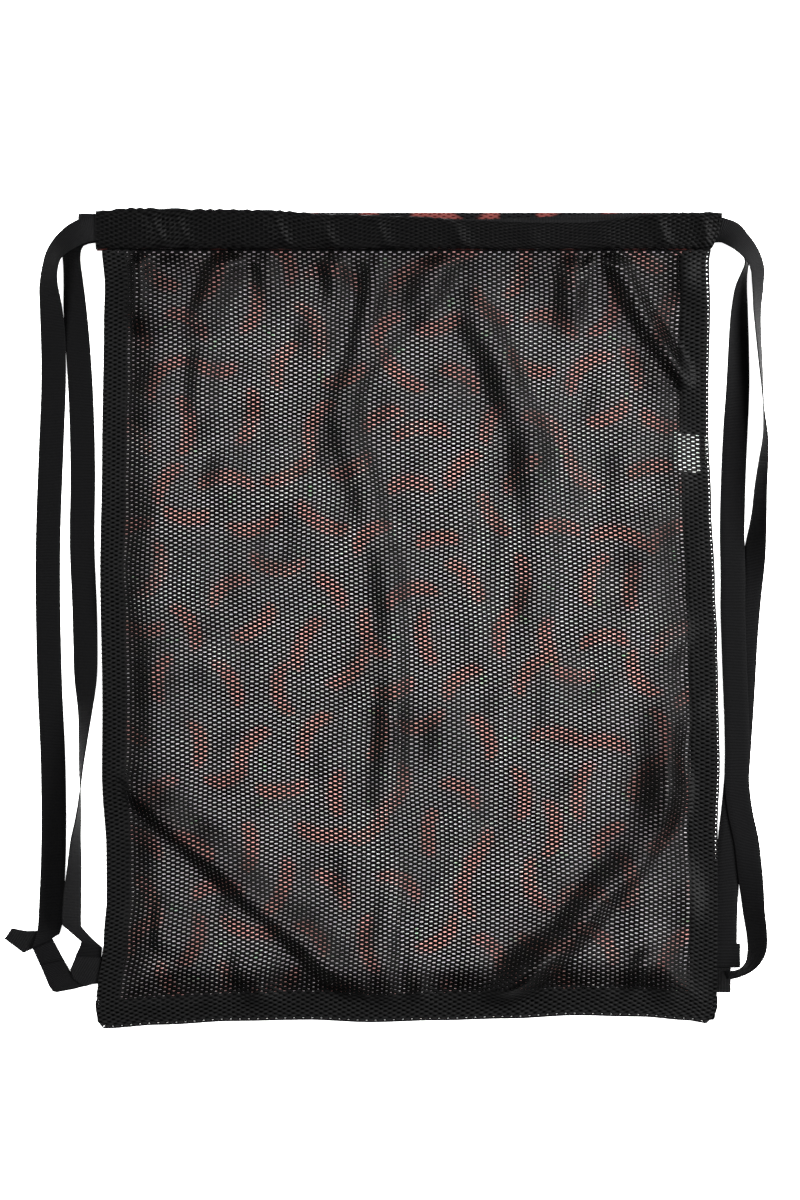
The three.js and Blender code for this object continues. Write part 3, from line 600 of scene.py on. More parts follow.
hem_eyes = narrowed(HEM_OPENNESS)
left_hem_lay = side_hem_lay(left_edge, LEFT_HEM_INSET, TO_THE_RIGHT, LEFT_HEM_SPREAD)
right_hem_lay = side_hem_lay(right_edge, RIGHT_HEM_INSET, TO_THE_LEFT, RIGHT_HEM_SPREAD)
left_hem = knit("side_hem_left_net", SIDE_HEM_FLAT, left_hem_lay, hem_eyes)
right_hem = knit("side_hem_right_net", SIDE_HEM_FLAT, right_hem_lay, hem_eyes)
bottom_hem = knit("bottom_hem_net", BOTTOM_HEM_FLAT, bottom_hem_lay, hem_eyes)
for piece, node in ((left_hem, "side_hem_left"), (right_hem, "side_hem_right"), (bottom_hem, "bottom_hem")):
    # Painted shade on the hem's yarn
    tint(piece, HEM_PAINTED_SHADE)
    piece.data.materials.append(hem_yarn)
    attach(piece, "root")
    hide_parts(node)


# Care label: a short length of white satin ribbon, bare, caught in the right seam inside the bag.
# It is woven of fine glossy threads, lies on the hem and is seen through the front net.
LABEL_CORNERS = {"left": (0.2135, 0.1490, 0.1185), "right": (0.2390, 0.1450, 0.1145)}
LABEL_Z = 0.0030
LABEL_THICKNESS = 0.00035
LABEL_CURL = 0.0003
LABEL_STEPS = 20
LABEL_DARK = (0.86, 0.86, 0.85)
LABEL_LIGHT = (0.92, 0.92, 0.91)
SATIN_ROUGHNESS = 0.42
SATIN_THREADS = 380
SATIN_SWAY = 0.6
SATIN_RELIEF = 0.3
SATIN_RELIEF_DEPTH = 0.0001


def fine_ribs(tree, flat, scale, sway):
    """Fine threads across a ribbon, as a height over its flat map."""
    values = {"Scale": scale, "Distortion": sway}
    ribs = add_node(tree, "ShaderNodeTexWave", values, wave_type="BANDS", bands_direction="Y")
    tree.links.new(flat, ribs.inputs["Vector"])
    return ribs.outputs["Fac"]


def satin_finish(name, dark, light):
    """Satin ribbon: fine glossy threads with a faint unevenness."""
    material, tree, surface = new_finish(name)
    surface.inputs["Roughness"].default_value = SATIN_ROUGHNESS
    flat = add_node(tree, "ShaderNodeUVMap", uv_map="ribbon").outputs[0]
    threads = fine_ribs(tree, flat, SATIN_THREADS, SATIN_SWAY)
    tree.links.new(mixed_colour(tree, threads, dark, light), surface.inputs["Base Color"])
    add_relief(tree, surface, threads, SATIN_RELIEF, SATIN_RELIEF_DEPTH)
    return material


across, along = np.meshgrid(np.linspace(0, 1, LABEL_STEPS + 1), np.linspace(0, 1, LABEL_STEPS + 1))
left_x, left_high, left_low = LABEL_CORNERS["left"]
right_x, right_high, right_low = LABEL_CORNERS["right"]
label_x = left_x + (right_x - left_x) * across
label_high = left_high + (right_high - left_high) * across
label_low = left_low + (right_low - left_low) * across
label_y = label_low + (label_high - label_low) * along
label_z = LABEL_Z + LABEL_CURL * np.sin(math.pi * along) * (1 - across)
label_points = np.stack([label_x, label_y, label_z], axis=-1).reshape(-1, 3)
corner = np.arange(label_points.shape[0]).reshape(LABEL_STEPS + 1, LABEL_STEPS + 1)
label_faces = faces_of(corner[:-1, :-1], corner[:-1, 1:], corner[1:, 1:], corner[1:, :-1])
label_mesh = bpy.data.meshes.new("care_label_ribbon")
label_mesh.from_pydata(label_points, [], label_faces)
flat_map(label_mesh, "ribbon", label_x.ravel(), label_y.ravel())
care_label = add_object("care_label_ribbon", label_mesh)
thickness = care_label.modifiers.new("thickness", "SOLIDIFY")
thickness.thickness = LABEL_THICKNESS
thickness.offset = 0
care_label.data.materials.append(satin_finish("white_satin", LABEL_DARK, LABEL_LIGHT))
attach(care_label, "root")
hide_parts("care_label")


# Front panel: the black net that faces up, cut in one piece and lying loose over the back panel.
# It is creased from packing, in folds that fan out from the casing and run across the lower corners.
# It is sewn to the hems at the sides and the bottom, and to the front casing at the top.
SEAM_Z = 0.0042
INSIDE_Z = 0.0107
PANEL_TOP_Z = 0.01435
SEAM_FLAT = 0.018
SEAM_RISE = 0.028
CASING_RISE = 0.070
FOLD_FADE_FROM = 0.004
FOLD_FADE_TO = 0.026
FOLD_CASING_FADE = 0.014
FRONT_INSET = 0.0004
FRONT_BOTTOM_INSET = -0.0008
FRONT_WANDER = 0.0007
FRONT_WANDER_SEED = 8
FOLDS = [
    {"line": [(-0.222, -0.138), (-0.206, -0.150), (-0.176, -0.178), (-0.136, -0.214), (-0.096, -0.250),
              (-0.046, -0.297)],
     "left": 0.017, "right": 0.027, "height": 0.0085, "ends": (0, 0)},
    {"line": [(0.212, -0.050), (0.207, -0.115), (0.200, -0.157), (0.188, -0.188), (0.154, -0.225),
              (0.122, -0.262), (0.080, -0.302)],
     "left": 0.027, "right": 0.018, "height": 0.0130, "ends": (0.08, 0)},
    {"line": [(0.040, 0.270), (0.057, 0.235), (0.076, 0.195), (0.093, 0.155), (0.103, 0.110), (0.110, 0.050),
              (0.112, 0.000)],
     "left": 0.025, "right": 0.022, "height": 0.0108, "ends": (0.04, 0.10)},
    {"line": [(0.036, 0.291), (0.013, 0.259), (-0.017, 0.225), (-0.044, 0.188), (-0.046, 0.151),
              (-0.035, 0.110), (-0.022, 0.062), (-0.014, 0.014), (-0.012, -0.035)],
     "left": 0.022, "right": 0.018, "height": 0.0072, "ends": (0, 0.06)},
    {"line": [(-0.028, 0.289), (-0.030, 0.255), (-0.039, 0.219), (-0.052, 0.181)],
     "left": 0.015, "right": 0.016, "height": 0.0070, "ends": (0, 0.04)},
    {"line": [(-0.013, 0.045), (-0.0115, 0.000), (-0.0115, -0.060), (-0.0130, -0.110), (-0.0165, -0.150)],
     "left": 0.021, "right": 0.0165, "height": 0.0090, "ends": (0.04, 0.06)},
    {"line": [(-0.0130, -0.110), (-0.019, -0.168), (-0.014, -0.212), (-0.016, -0.260), (-0.019, -0.300)],
     "left": 0.020, "right": 0.018, "height": 0.0055, "ends": (0.05, 0)},
    {"line": [(-0.147, 0.291), (-0.160, 0.255), (-0.175, 0.225), (-0.181, 0.205)],
     "left": 0.018, "right": 0.023, "height": 0.0110, "ends": (0, 0.05)},
    {"line": [(-0.163, 0.231), (-0.166, 0.191), (-0.166, 0.130)],
     "left": 0.018, "right": 0.019, "height": 0.0055, "ends": (0.03, 0.05)},
    {"line": [(-0.117, 0.291), (-0.114, 0.271), (-0.114, 0.245)],
     "left": 0.014, "right": 0.016, "height": 0.0095, "ends": (0, 0.035)},
    {"line": [(-0.062, 0.291), (-0.058, 0.263), (-0.059, 0.232)],
     "left": 0.015, "right": 0.016, "height": 0.0100, "ends": (0, 0.04)},
    {"line": [(0.130, 0.291), (0.130, 0.247), (0.126, 0.208)],
     "left": 0.019, "right": 0.015, "height": 0.0105, "ends": (0, 0.05)},
    {"line": [(0.163, 0.289), (0.188, 0.241), (0.223, 0.192)],
     "left": 0.015, "right": 0.014, "height": 0.0100, "ends": (0, 0)},
    {"line": [(0.147, 0.291), (0.138, 0.271), (0.131, 0.250)],
     "left": 0.010, "right": 0.010, "height": 0.0060, "ends": (0, 0.02)},
    {"line": [(-0.217, 0.289), (-0.219, 0.247), (-0.221, 0.215)],
     "left": 0.011, "right": 0.014, "height": 0.0070, "ends": (0, 0.03)},
    {"line": [(-0.196, -0.215), (-0.198, -0.244), (-0.200, -0.276)],
     "left": 0.011, "right": 0.011, "height": 0.0045, "ends": (0.02, 0.02)},
    {"line": [(-0.138, -0.250), (-0.134, -0.278), (-0.128, -0.304)],
     "left": 0.016, "right": 0.016, "height": 0.0040, "ends": (0.03, 0)},
    {"line": [(-0.004, -0.228), (0.002, -0.260), (0.007, -0.300)],
     "left": 0.016, "right": 0.016, "height": 0.0040, "ends": (0.03, 0)},
    {"line": [(0.198, -0.260), (0.184, -0.286), (0.176, -0.308)],
     "left": 0.012, "right": 0.012, "height": 0.0050, "ends": (0.02, 0)},
]
FOLD_BLEND = 3
LOOSE_WAVES = 9
LOOSE_LENGTHS = (0.035, 0.090)
LOOSE_HEIGHT = 0.0009
LOOSE_SEED = 31
LIFT_EASE = 0.0012
MAP_STEP = 0.0015
MAP_LOW = (-0.260, -0.335)
MAP_HIGH = (0.260, 0.300)
MAP_MARGIN = 1.001
FOLD_STEPS = 40
LEVEL_SLOPE = 1e-9


def run_lengths(points):
    """The way along a line of points, from its start to each of them."""
    return np.concatenate([[0], np.cumsum(np.linalg.norm(np.diff(points, axis=0), axis=1))])


def smooth_path(points, steps):
    """Evenly stepped points on a smooth line through a few."""
    knots = np.array(points, dtype=float)
    chord = run_lengths(knots)
    slopes = np.gradient(knots, chord, axis=0)
    at = np.linspace(0, chord[-1], steps)
    i = np.clip(np.searchsorted(chord, at, side="right") - 1, 0, len(chord) - 2)
    span = (chord[i + 1] - chord[i])[:, None]
    t = (at[:, None] - chord[i][:, None]) / span
    start_share = 2 * t ** 3 - 3 * t ** 2 + 1
    start_pull = (t ** 3 - 2 * t ** 2 + t) * span
    end_pull = (t ** 3 - t ** 2) * span
    places = start_share * knots[i] + (1 - start_share) * knots[i + 1]
    return places + start_pull * slopes[i] + end_pull * slopes[i + 1]


def fold_height(fold, x, y):
    """Height that one fold adds at each place, from the nearest point of its ridge, which runs downward."""
    ridge = smooth_path(fold["line"], FOLD_STEPS)
    ridge_length = run_lengths(ridge)[-1]
    reach = max(fold["left"], fold["right"])
    low = ridge.min(axis=0) - reach
    high = ridge.max(axis=0) + reach
    near = (x > low[0]) & (x < high[0]) & (y > low[1]) & (y < high[1])
    place = np.stack([x[near], y[near]], axis=-1)
    nearest = np.full(len(place), np.inf)
    side = np.zeros(len(place))
    along = np.zeros(len(place))
    for i in range(FOLD_STEPS - 1):
        run = ridge[i + 1] - ridge[i]
        off = place - ridge[i]
        t = np.clip(off @ run / (run @ run), 0, 1)
        rest = off - t[:, None] * run
        distance = np.hypot(rest[:, 0], rest[:, 1])
        closer = distance < nearest
        nearest[closer] = distance[closer]
        side[closer] = (run[0] * off[:, 1] - run[1] * off[:, 0])[closer]
        along[closer] = ((i + t) / (FOLD_STEPS - 1))[closer]
    width = np.where(side > 0, fold["right"], fold["left"])
    profile = (1 + np.cos(math.pi * np.minimum(nearest / width, 1))) / 2
    for run_out, gone in zip(fold["ends"], (along, 1 - along)):
        if run_out:
            profile *= smooth_step(0, run_out, gone * ridge_length)
    added = np.zeros(x.shape)
    added[near] = fold["height"] * profile
    return added


def loose_waves(x, y):
    """Low waves all over the slack cloth."""
    chance = np.random.default_rng(LOOSE_SEED)
    height = np.zeros(x.shape)
    for wave in range(LOOSE_WAVES):
        heading = chance.uniform(0, math.pi)
        turns = 2 * math.pi / chance.uniform(*LOOSE_LENGTHS)
        phase = chance.uniform(0, 2 * math.pi)
        height += LOOSE_HEIGHT * np.sin((x * math.cos(heading) + y * math.sin(heading)) * turns + phase)
    return height


map_x = np.arange(MAP_LOW[0], MAP_HIGH[0], MAP_STEP)
map_y = np.arange(MAP_LOW[1], MAP_HIGH[1], MAP_STEP)
grid_x, grid_y = np.meshgrid(map_x, map_y)
from_side = np.minimum(grid_x - left_edge(grid_y), right_edge(grid_y) - grid_x)
from_seam = np.minimum(from_side, grid_y - bottom_edge(grid_x))
body_height = SEAM_Z + (INSIDE_Z - SEAM_Z) * smooth_step(SEAM_FLAT, SEAM_FLAT + SEAM_RISE, from_seam)
casing_share = smooth_step(PANEL_TOP - CASING_RISE, PANEL_TOP, grid_y)
fold_share = smooth_step(FOLD_FADE_FROM, FOLD_FADE_TO, from_seam)
fold_share *= smooth_step(0, FOLD_CASING_FADE, PANEL_TOP - grid_y)
folded = sum(fold_height(fold, grid_x, grid_y) ** FOLD_BLEND for fold in FOLDS) ** (1 / FOLD_BLEND)
height_map = body_height + (PANEL_TOP_Z - body_height) * casing_share
height_map += fold_share * (folded + loose_waves(grid_x, grid_y))
height_map = (height_map + SEAM_Z + np.hypot(height_map - SEAM_Z, LIFT_EASE)) / 2
slope_up, slope_across = np.gradient(height_map, MAP_STEP)
slope_map = np.hypot(slope_up, slope_across)
right_map = np.clip(-slope_across / np.maximum(slope_map, LEVEL_SLOPE), 0, 1)


def read_map(table, x, y):
    """The value of a height or slope map at each place, blended between its points."""
    column = np.clip((x - map_x[0]) / MAP_STEP, 0, len(map_x) - MAP_MARGIN)
    row = np.clip((y - map_y[0]) / MAP_STEP, 0, len(map_y) - MAP_MARGIN)
    i = column.astype(int)
    j = row.astype(int)
    s = column - i
    t = row - j
    lower = table[j, i] * (1 - s) + table[j, i + 1] * s
    upper = table[j + 1, i] * (1 - s) + table[j + 1, i + 1] * s
    return lower * (1 - t) + upper * t


# The cloth settles over its folds: a coarse grid of the flat panel is drawn in, which eases its stretch
SETTLE_COLUMNS = 100
SETTLE_ROWS = 126
SETTLE_ROUNDS = 160
SETTLE_PULL = 0.4
SETTLE_MARGIN = 1e-6
SPARE_CLOTH = 1.015
EVERY = slice(None)
BEFORE = slice(None, -1)
AFTER = slice(1, None)
LINKS = [((EVERY, BEFORE), (EVERY, AFTER)), ((BEFORE, EVERY), (AFTER, EVERY)),
         ((BEFORE, BEFORE), (AFTER, AFTER)), ((BEFORE, AFTER), (AFTER, BEFORE))]

settle_v, settle_u = np.meshgrid(np.linspace(0, PANEL_FLAT[1], SETTLE_ROWS + 1),
                                 np.linspace(0, PANEL_FLAT[0], SETTLE_COLUMNS + 1), indexing="ij")
settled = np.stack(panel_place(settle_u, settle_v, FRONT_INSET, FRONT_INSET, FRONT_BOTTOM_INSET), axis=-1)
pinned = settled.copy()
rest_lengths = [SPARE_CLOTH * np.linalg.norm(pinned[a] - pinned[b], axis=-1) for a, b in LINKS]
for settle_round in range(SETTLE_ROUNDS):
    heights = read_map(height_map, settled[..., 0], settled[..., 1])
    push = np.zeros(settled.shape)
    for (a, b), rest in zip(LINKS, rest_lengths):
        level = settled[b] - settled[a]
        length = np.sqrt((level ** 2).sum(axis=-1) + (heights[b] - heights[a]) ** 2)
        excess = level * (1 - rest / length)[..., None]
        push[a] += SETTLE_PULL / 2 * excess
        push[b] -= SETTLE_PULL / 2 * excess
    settled += push
    settled[[0, -1]] = pinned[[0, -1]]
    settled[:, [0, -1]] = pinned[:, [0, -1]]


def spline_shares(t):
    """Shares of four neighbouring points on a smooth line, at t between the middle two."""
    return np.stack([-t + 2 * t ** 2 - t ** 3, 2 - 5 * t ** 2 + 3 * t ** 3,
                     t + 4 * t ** 2 - 3 * t ** 3, -t ** 2 + t ** 3]) / 2


def front_panel_plan(u, v):
    """Where a point of the flat front panel has settled, in plan."""
    padded = np.pad(settled, ((1, 1), (1, 1), (0, 0)), mode="reflect", reflect_type="odd")
    column = np.clip(u / PANEL_FLAT[0] * SETTLE_COLUMNS, 0, SETTLE_COLUMNS - SETTLE_MARGIN)
    row = np.clip(v / PANEL_FLAT[1] * SETTLE_ROWS, 0, SETTLE_ROWS - SETTLE_MARGIN)
    i = column.astype(int)
    j = row.astype(int)
    share_u = spline_shares(column - i)
    share_v = spline_shares(row - j)
    place = np.zeros(u.shape + (2,))
    for b in range(len(share_v)):
        for a in range(len(share_u)):
            place += (share_v[b] * share_u[a])[..., None] * padded[j + b, i + a]
    x, y = place[..., 0], place[..., 1]
    inner = within_panel(u, v)
    wandered = wander(x, y, FRONT_WANDER, FRONT_WANDER_SEED)
    return x + (wandered[0] - x) * inner, y + (wandered[1] - y) * inner


def front_panel_lay(u, v):
    """Lays the front panel over its folds."""
    x, y = front_panel_plan(u, v)
    return x, y, read_map(height_map, x, y)


SHUT_FROM = 0.12
SHUT_AT = 0.90
SHUT_MOST = 0.52
SHUT_LESS_RIGHT = 0.40
SHUT_AT_CASING = 0.10
CASING_PULL = 0.060
SHUT_AT_HEM = 0.32
SHUT_AT_RIGHT_HEM = 0.18
RIGHT_HEM_EDGE = (0.0240, 0.0270)
HEM_EDGE = (0.0160, 0.0190)
HEM_PULL = (0.026, 0.050)
SHUT_AT_SEAM = 0.50
SEAM_PULL = (0.0015, 0.0090)
# Painted highlight: the front net's yarn is made up to seven times lighter along the seams, for the light
# caught on the doubled border
BORDER_EDGE = (0.0205, 0.0245)
BORDER_PAINTED_HIGHLIGHT = 7
EVEN_TINT = (0.4, 0.4, 0.4)
BLACK_ROUGHNESS = 0.34


def front_eyes(u, v):
    """Eyes drawn shut where the cloth is steep, most on the left of a fold, and at casing, hems and seams."""
    x, y = front_panel_plan(u, v)
    steep = smooth_step(SHUT_FROM, SHUT_AT, read_map(slope_map, x, y))
    steep *= 1 - SHUT_LESS_RIGHT * read_map(right_map, x, y)
    gathered = 1 - smooth_step(0, CASING_PULL, PANEL_TOP - y)
    left_or_low = np.minimum(x - left_edge(y), y - bottom_edge(x))
    hem = smooth_step(*HEM_EDGE, left_or_low) * (1 - smooth_step(*HEM_PULL, left_or_low))
    seam = read_map(from_seam, x, y)
    sewn = 1 - smooth_step(*SEAM_PULL, seam)
    right = right_edge(y) - x
    right_hem_pull = smooth_step(*RIGHT_HEM_EDGE, right) * (1 - smooth_step(*HEM_PULL, right))
    drawn = (1 - SHUT_MOST * steep) * (1 - SHUT_AT_CASING * gathered)
    drawn *= (1 - SHUT_AT_HEM * hem) * (1 - SHUT_AT_RIGHT_HEM * right_hem_pull)
    return drawn * (1 - SHUT_AT_SEAM * sewn)


black_yarn = knit_finish("black_yarn", BLACK_YARN_HOLLOW_SHADE, BLACK_YARN_CREST_HIGHLIGHT, BLACK_ROUGHNESS, YARN_SHINE)
front_panel = knit("front_panel_net", PANEL_FLAT, front_panel_lay, front_eyes)
front_points = points_of(front_panel)
# Painted highlight along the seams: lighter yarn over the doubled border
border = 1 - smooth_step(*BORDER_EDGE, read_map(from_seam, front_points[:, 0], front_points[:, 1]))
tint(front_panel, np.outer(1 + (BORDER_PAINTED_HIGHLIGHT - 1) * border, EVEN_TINT))
front_panel.data.materials.append(black_yarn)
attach(front_panel, "root")
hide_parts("front_panel")


# Front casing: the top of the front panel, turned over to a flat tube and sewn down along its lower edge.
# It is the same black net, doubled, and bunches in slanted gathers on the straps inside it.
# Its ends are open for the straps, and it hides all but a strip of the back casing.
FRONT_CASING_TOP = {
    "x": [-0.251, -0.221, -0.160, -0.120, -0.060, 0.001, 0.049, 0.101, 0.140, 0.170, 0.200, 0.251],
    "y": [0.326, 0.3285, 0.3275, 0.327, 0.3235, 0.3215, 0.3188, 0.317, 0.3172, 0.320, 0.3245, 0.325],
}
FRONT_CASING_Z = 0.0119
GATHERS = {
    "x": [-0.211, -0.191, -0.150, -0.112, -0.074, -0.030, 0.033, 0.092, 0.150, 0.195, 0.232],
    "half_width": [0.0055, 0.0050, 0.0080, 0.0060, 0.0060, 0.0060, 0.0065, 0.0100, 0.0090, 0.0060, 0.0050],
    "height": [0.0030, 0.0022, 0.0007, 0.0030, 0.0026, 0.0020, 0.0028, 0.0012, 0.0006, 0.0024, 0.0022],
}
GATHER_SLANT = 0.45
# Painted highlight: the casing's yarn is made lighter than the field's, for the glints caught on its doubled
# yarn
CASING_PAINTED_HIGHLIGHT = 1.3
FOLDED_OPENNESS = 0.12
FOLDED_REACH = (0.004, 0.010)
CASING_TWISTS = {"length": [0.170, 0.081], "reach": [0.0055, 0.0020], "start": [0.6, 2.1]}
FRONT_CASING_HIGH = 0.3245
FRONT_CASING_FLAT = (2 * CASING_END, 2 * (FRONT_CASING_HIGH - CASING_LOW) + CASING_SPARE)
front_casing_top = edge_line(FRONT_CASING_TOP, "x", "y")


def round_casing(u, v):
    """Place along the casing and way round it, by which the cloth is twisted a little in its tube."""
    x = u - CASING_END
    for length, reach, start in zip(*CASING_TWISTS.values()):
        v = v + reach * np.sin(2 * math.pi * x / length + start)
    return x, v


def front_casing_lay(u, v):
    """Rolls the front casing's cloth into its flat tube, bunched in gathers on top."""
    x, way_round = round_casing(u, v)
    high = front_casing_top(x)
    y, z = tube_place(way_round, FRONT_CASING_FLAT[1], CASING_LOW, high, FRONT_CASING_Z)
    up = (y - CASING_LOW) / (high - CASING_LOW)
    bunched = np.zeros(x.shape)
    for middle, half_width, height in zip(*GATHERS.values()):
        off = (x - middle + GATHER_SLANT * (y - high)) / half_width
        bunched += height * np.exp(-off ** 2)
    over = smooth_step(0, CASING_DEPTH / 2, z - FRONT_CASING_Z - CASING_DEPTH / 2)
    return tucked(x, up), y, z + bunched * over * np.sin(math.pi * np.clip(up, 0, 1))


def front_casing_eyes(u, v):
    """Eyes of the tube, drawn shut along the folds at its top and its lower seam."""
    x, way_round = round_casing(u, v)
    half_round = FRONT_CASING_FLAT[1] / 2
    from_fold = half_round / 2 - np.abs(way_round % half_round - half_round / 2)
    return FOLDED_OPENNESS + (CASING_OPENNESS - FOLDED_OPENNESS) * smooth_step(*FOLDED_REACH, from_fold)


front_casing = knit("front_casing_tube", FRONT_CASING_FLAT, front_casing_lay, front_casing_eyes)
# Painted highlight on the casing's yarn
tint(front_casing, CASING_PAINTED_HIGHLIGHT)
front_casing.data.materials.append(black_yarn)
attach(front_casing, "root")
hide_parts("front_casing")


# Straps: two lengths of black woven webbing with fine ribs across, 20 mm wide and 1 mm thick.
# Each runs through both casings and comes out at one side, then lies down that side to a tab at the corner.
# They are loose in the casings, roll onto an edge in places, and the left one is knotted at its tab.
STRAP_WIDTH = 0.020
STRAP_THICKNESS = 0.001
STRAP_STEP = 0.003
STRAP_EASE = 5
BACK_UPPER_Z = 0.0026
BACK_LOWER_Z = 0.0013
FRONT_UPPER_Z = FRONT_CASING_Z + BACK_UPPER_Z
FRONT_LOWER_Z = FRONT_CASING_Z + BACK_LOWER_Z
# Stations of each run, from inside the casing to the corner: plan, roll in degrees, height of what it lies on
RUN_COLUMNS = ("x", "y", "roll", "under")
LEFT_FRONT_RUN = [
    (0.240, 0.310, 0, FRONT_UPPER_Z),
    (0.049, 0.3088, 0, FRONT_UPPER_Z),
    (-0.120, 0.310, 0, FRONT_UPPER_Z),
    (-0.243, 0.311, 0, FRONT_UPPER_Z),
    (-0.251, 0.311, 0, FRONT_UPPER_Z),
    (-0.257, 0.3105, 0, 0.0149),
    (-0.265, 0.3075, -8, 0.0155),
    (-0.273, 0.3025, -22, 0.014),
    (-0.2795, 0.297, -36, 0.011),
    (-0.285, 0.290, -46, 0.006),
    (-0.288, 0.281, -47, 0.0015),
    (-0.2895, 0.269, -40, 0),
    (-0.288, 0.251, -22, 0),
    (-0.2865, 0.227, -5, 0),
    (-0.286, 0.187, 0, 0),
    (-0.2875, 0.146, 0, 0),
    (-0.2905, 0.056, 0, 0),
    (-0.289, -0.055, 0, 0),
    (-0.2865, -0.115, 0, 0),
    (-0.286, -0.186, 0, 0),
    (-0.2875, -0.228, 0, 0.0002),
    (-0.2882, -0.2445, 0, 0.0013),
]
LEFT_BACK_RUN = [
    (0.240, 0.310, 0, BACK_LOWER_Z),
    (-0.120, 0.310, 0, BACK_LOWER_Z),
    (-0.243, 0.311, 0, BACK_LOWER_Z),
    (-0.251, 0.311, 0, BACK_LOWER_Z),
    (-0.257, 0.3105, 0, 0.0009),
    (-0.2635, 0.3085, 0, 0.0003),
    (-0.269, 0.3035, -8, 0),
    (-0.271, 0.297, -36, 0),
    (-0.271, 0.289, -45, 0),
    (-0.2705, 0.281, -41, 0),
    (-0.2695, 0.267, -33, 0),
    (-0.2685, 0.247, -15, 0),
    (-0.2665, 0.219, -3, 0),
    (-0.2645, 0.187, 0, 0),
    (-0.2625, 0.118, 0, 0),
    (-0.263, 0.056, 0, 0),
    (-0.261, 0.006, 0, 0),
    (-0.260, -0.043, -12, 0),
    (-0.260, -0.075, -52, 0),
    (-0.2615, -0.099, -66, 0),
    (-0.263, -0.119, -76, 0),
    (-0.264, -0.143, -88, 0),
    (-0.265, -0.157, -95, 0),
    (-0.2675, -0.180, -110, 0),
    (-0.2685, -0.200, -120, 0),
    (-0.2700, -0.220, -129, 0),
    (-0.2710, -0.241, -136, 0),
]
RIGHT_FRONT_RUN = [
    (-0.260, 0.3135, 0, FRONT_LOWER_Z),
    (-0.240, 0.313, 0, FRONT_LOWER_Z),
    (-0.120, 0.310, 0, FRONT_LOWER_Z),
    (0.049, 0.3088, 0, FRONT_LOWER_Z),
    (0.243, 0.311, 0, FRONT_LOWER_Z),
    (0.2515, 0.310, 4, FRONT_LOWER_Z),
    (0.257, 0.3068, 14, 0.0145),
    (0.2635, 0.3018, 26, 0.017),
    (0.2695, 0.2958, 36, 0.018),
    (0.2750, 0.2890, 45, 0.012),
    (0.279, 0.281, 50, 0.004),
    (0.280, 0.267, 58, 0),
    (0.2795, 0.247, 68, 0),
    (0.2805, 0.227, 73, 0),
    (0.282, 0.207, 76, 0),
    (0.2835, 0.187, 81, 0),
    (0.285, 0.163, 86, 0),
    (0.286, 0.146, 95, 0),
    (0.2845, 0.126, 107, 0),
    (0.2825, 0.106, 114, 0),
    (0.281, 0.082, 121, 0),
    (0.2785, 0.058, 140, 0),
    (0.275, 0.030, 174, 0),
    (0.272, -0.002, 180, 0),
    (0.2675, -0.075, 180, 0),
    (0.2625, -0.143, 180, 0),
    (0.2575, -0.190, 180, 0),
    (0.2545, -0.236, 180, 0),
    (0.254, -0.281, 180, 0),
]
RIGHT_BACK_RUN = [
    (-0.260, 0.3135, 0, BACK_UPPER_Z),
    (-0.240, 0.313, 0, BACK_UPPER_Z),
    (-0.120, 0.3105, 0, BACK_UPPER_Z),
    (0.243, 0.311, 0, BACK_UPPER_Z),
    (0.252, 0.311, 0, BACK_UPPER_Z),
    (0.260, 0.3085, 8, 0.0014),
    (0.2665, 0.302, 38, 0.0003),
    (0.270, 0.293, 68, 0),
    (0.271, 0.284, 88, 0),
    (0.269, 0.275, 72, 0),
    (0.267, 0.266, 58, 0),
    (0.2655, 0.247, 43, 0),
    (0.265, 0.219, 30, 0),
    (0.2645, 0.187, 18, 0),
    (0.2625, 0.146, 2, 0),
    (0.261, 0.110, 0, 0),
    (0.260, 0.062, 0, 0.0022),
    (0.2605, 0.034, 0, 0.0036),
    (0.2605, 0.006, 0, 0.0018),
    (0.2615, -0.027, 0, 0.0014),
    (0.264, -0.107, 0, 0.0014),
    (0.264, -0.135, 0, 0.0014),
    (0.267, -0.159, 0, 0.0014),
    (0.2715, -0.180, 0, 0.0014),
    (0.274, -0.202, -8, 0.0015),
    (0.2758, -0.222, -22, 0.0014),
    (0.277, -0.236, -33, 0),
    (0.2795, -0.256, -39, 0),
    (0.2795, -0.2665, -43, 0),
    (0.2775, -0.273, -52, 0),
    (0.2745, -0.2785, -68, 0.0006),
    (0.2695, -0.2832, -86, 0.0016),
    (0.2625, -0.2862, -80, 0.0027),
    (0.2535, -0.2872, -74, 0.0027),
]
TURN_ANGLES = range(250, 105, -10)


def eased(values):
    """Values along a run with their corners rounded off."""
    padded = np.pad(values, STRAP_EASE, mode="edge")
    window = np.hanning(2 * STRAP_EASE + 3)[1:-1]
    return np.convolve(padded, window / window.sum(), mode="valid")


def strap_run(table):
    """Middles, width directions and face directions along a run, from its table."""
    column = dict(zip(RUN_COLUMNS, np.array(table, dtype=float).T))
    knots = np.stack([column["x"], column["y"]], axis=-1)
    chord = run_lengths(knots)
    steps = round(chord[-1] / STRAP_STEP)
    along = np.linspace(0, chord[-1], steps)
    plan = smooth_path(knots, steps)
    roll = np.radians(eased(np.interp(along, chord, column["roll"])))
    under = eased(np.interp(along, chord, column["under"]))
    rest = np.abs(np.sin(roll)) * STRAP_WIDTH / 2 + np.abs(np.cos(roll)) * STRAP_THICKNESS / 2
    heading = np.gradient(plan, axis=0)
    heading /= np.linalg.norm(heading, axis=1)[:, None]
    zero = np.zeros(steps)
    level = np.stack([heading[:, 1], -heading[:, 0], zero], axis=-1)
    up = np.stack([zero, zero, zero + 1], axis=-1)
    cosine = np.cos(roll)[:, None]
    sine = np.sin(roll)[:, None]
    middle = np.concatenate([plan, (under + rest)[:, None]], axis=1)
    return middle, level * cosine + up * sine, up * cosine - level * sine


